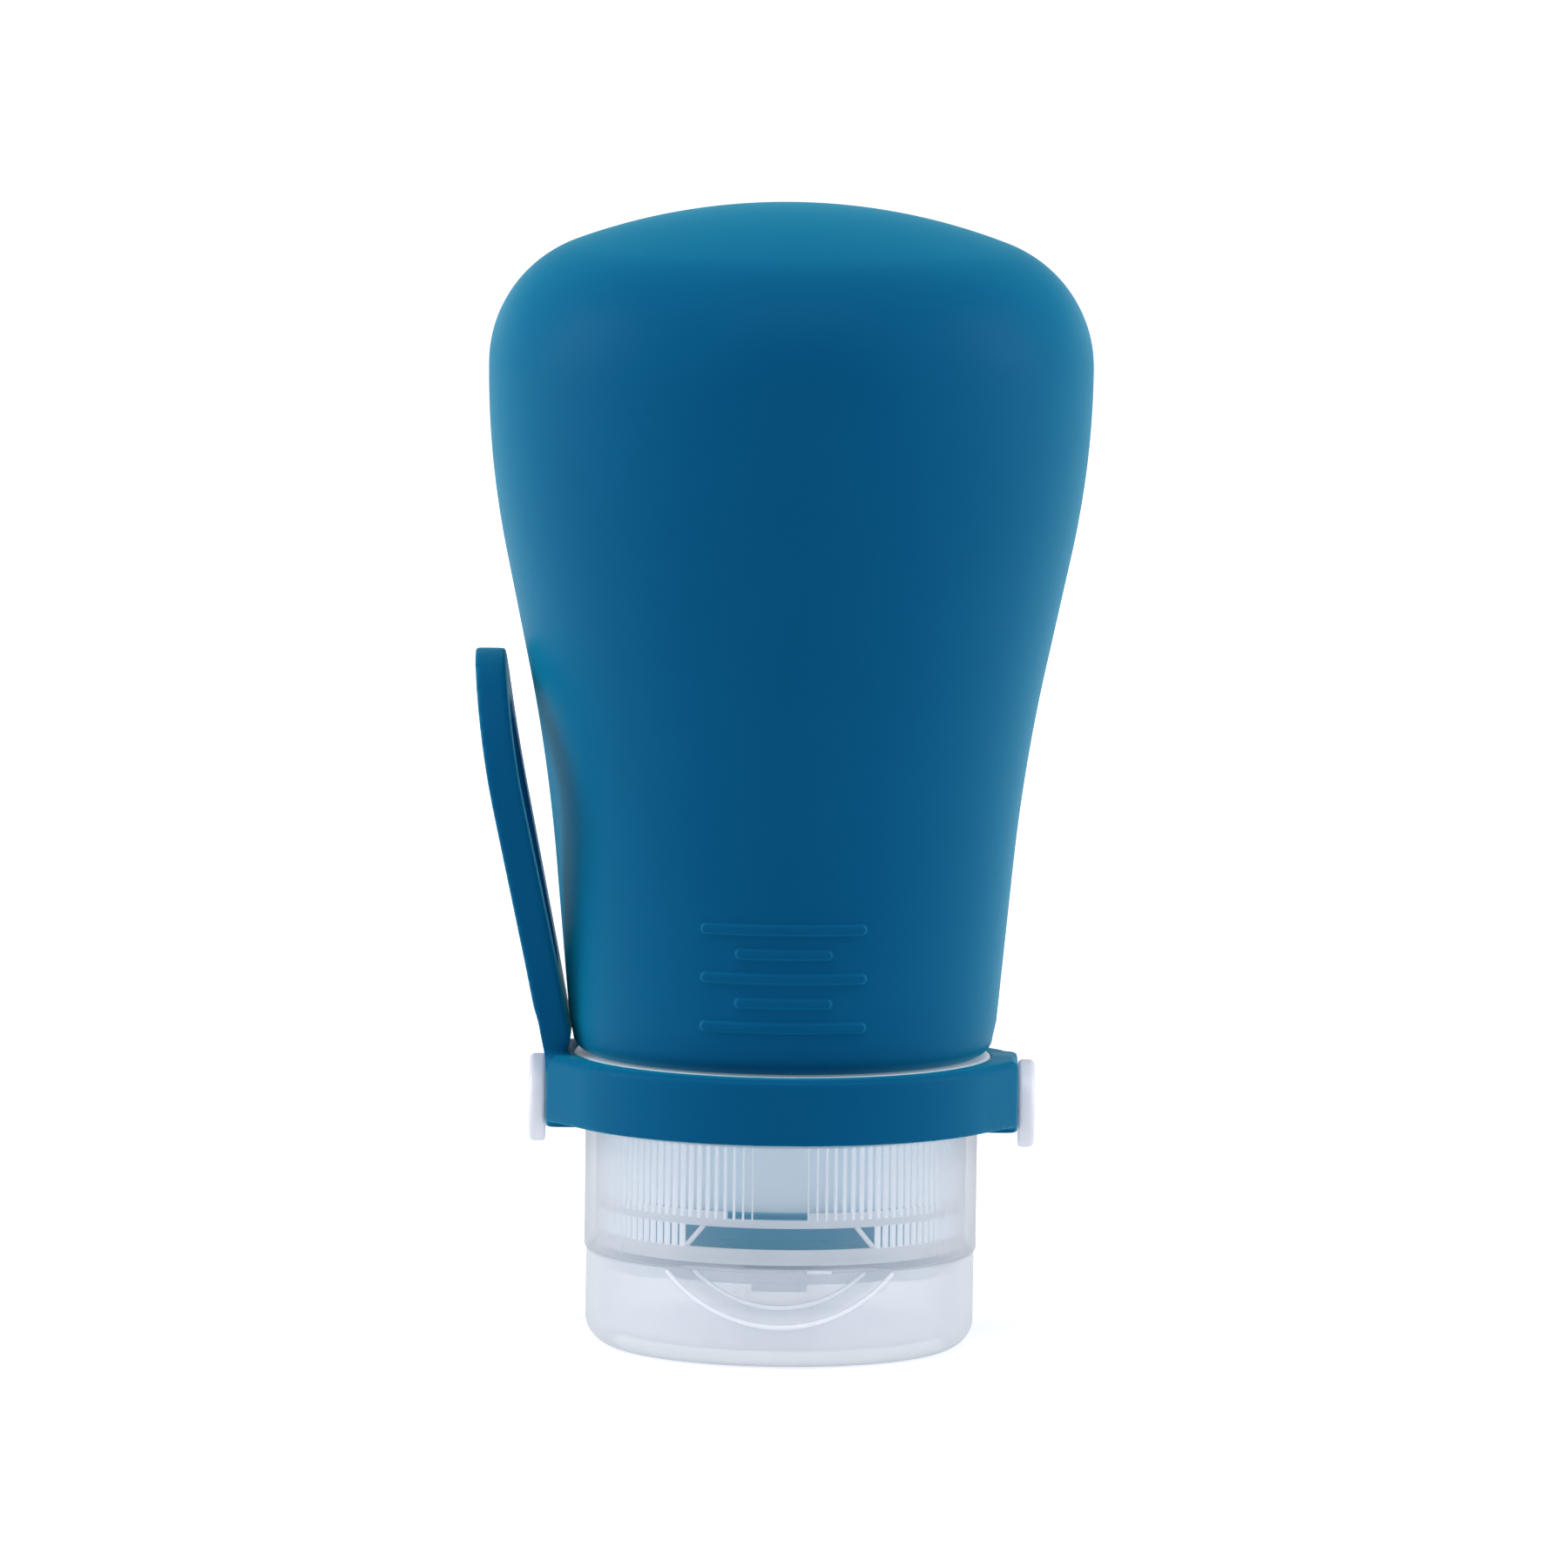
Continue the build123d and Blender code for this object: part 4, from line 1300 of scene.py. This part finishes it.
def set_camera(scene):
    """Camera that frames the bottle as the photo does, from a little above."""
    camera = bpy.data.cameras.new("camera")
    camera.sensor_width = SENSOR
    camera.lens = SENSOR * CAMERA_DISTANCE / FRAME_WIDTH
    camera.clip_start, camera.clip_end = 0.05, 30
    camera.shift_x = CAMERA_SHIFT
    eye = new_piece("camera", camera)
    rise = CAMERA_HEIGHT - AIM_HEIGHT
    back = math.sqrt(CAMERA_DISTANCE**2 - rise**2)
    place = Vector((0, -back, CAMERA_HEIGHT)) * MM
    look = Vector((0, 0, AIM_HEIGHT)) * MM - place
    turn = look.to_track_quat("-Z", "Y").to_matrix()
    # The roll shows the slight lean that the bottle has in the photo.
    roll = Matrix.Rotation(math.radians(CAMERA_ROLL), 3, "Z")
    eye.matrix_world = Matrix.Translation(place) @ (turn @ roll).to_4x4()
    scene.camera = eye


class BOTTLE_OT_stage(bpy.types.Operator):
    """Sets the floor, the soft lights, the white surround and the camera"""

    bl_idname = "bottle.stage"
    bl_label = "Stage"

    def execute(self, context):
        scene = context.scene
        scene.view_settings.view_transform = "Standard"
        white_surround(scene)
        corners = np.array([(-1, -1, 0), (1, -1, 0), (1, 1, 0), (-1, 1, 0)], float)
        floor = mesh_piece("floor", (corners * FLOOR_HALF, [(0, 1, 2, 3)]), floor_paint())
        lamps = [softbox(*values) for values in SOFTBOXES]
        # The top of the dome would mirror the back one along its edge.
        lamps[-1].visible_glossy = False
        set_camera(scene)
        return {"FINISHED"}


class BOTTLE_PT_panel(bpy.types.Panel):
    """Lists the bottle's builders, sizes and colours."""

    bl_idname = "BOTTLE_PT_panel"
    bl_label = "Travel Squeeze Bottle"
    bl_space_type = "VIEW_3D"
    bl_region_type = "UI"
    bl_category = "Bottle"

    def draw(self, context):
        layout = self.layout
        for builder in BUILDERS:
            layout.operator(builder.bl_idname)
        for group in (context.scene.bottle_sizes, context.scene.bottle_colours):
            column = layout.column()
            for key in group.__annotations__:
                column.prop(group, key)


BUILDERS = (
    BOTTLE_OT_stage,
    BOTTLE_OT_body,
    BOTTLE_OT_band,
    BOTTLE_OT_studs,
    BOTTLE_OT_cap,
    BOTTLE_OT_lid,
    BOTTLE_OT_insides,
)
CLASSES = (BottleSizes, BottleColours) + BUILDERS + (BOTTLE_PT_panel,)


def register():
    for item in CLASSES:
        bpy.utils.register_class(item)
    bpy.types.Scene.bottle_sizes = PointerProperty(type=BottleSizes)
    bpy.types.Scene.bottle_colours = PointerProperty(type=BottleColours)


def unregister():
    del bpy.types.Scene.bottle_colours
    del bpy.types.Scene.bottle_sizes
    for item in reversed(CLASSES):
        bpy.utils.unregister_class(item)


def main():
    register()
    bpy.ops.bottle.stage()
    bpy.ops.bottle.body()
    bpy.ops.bottle.band()
    bpy.ops.bottle.studs()
    bpy.ops.bottle.cap()
    bpy.ops.bottle.lid()
    bpy.ops.bottle.insides()


if __name__ == "__main__":
    main()
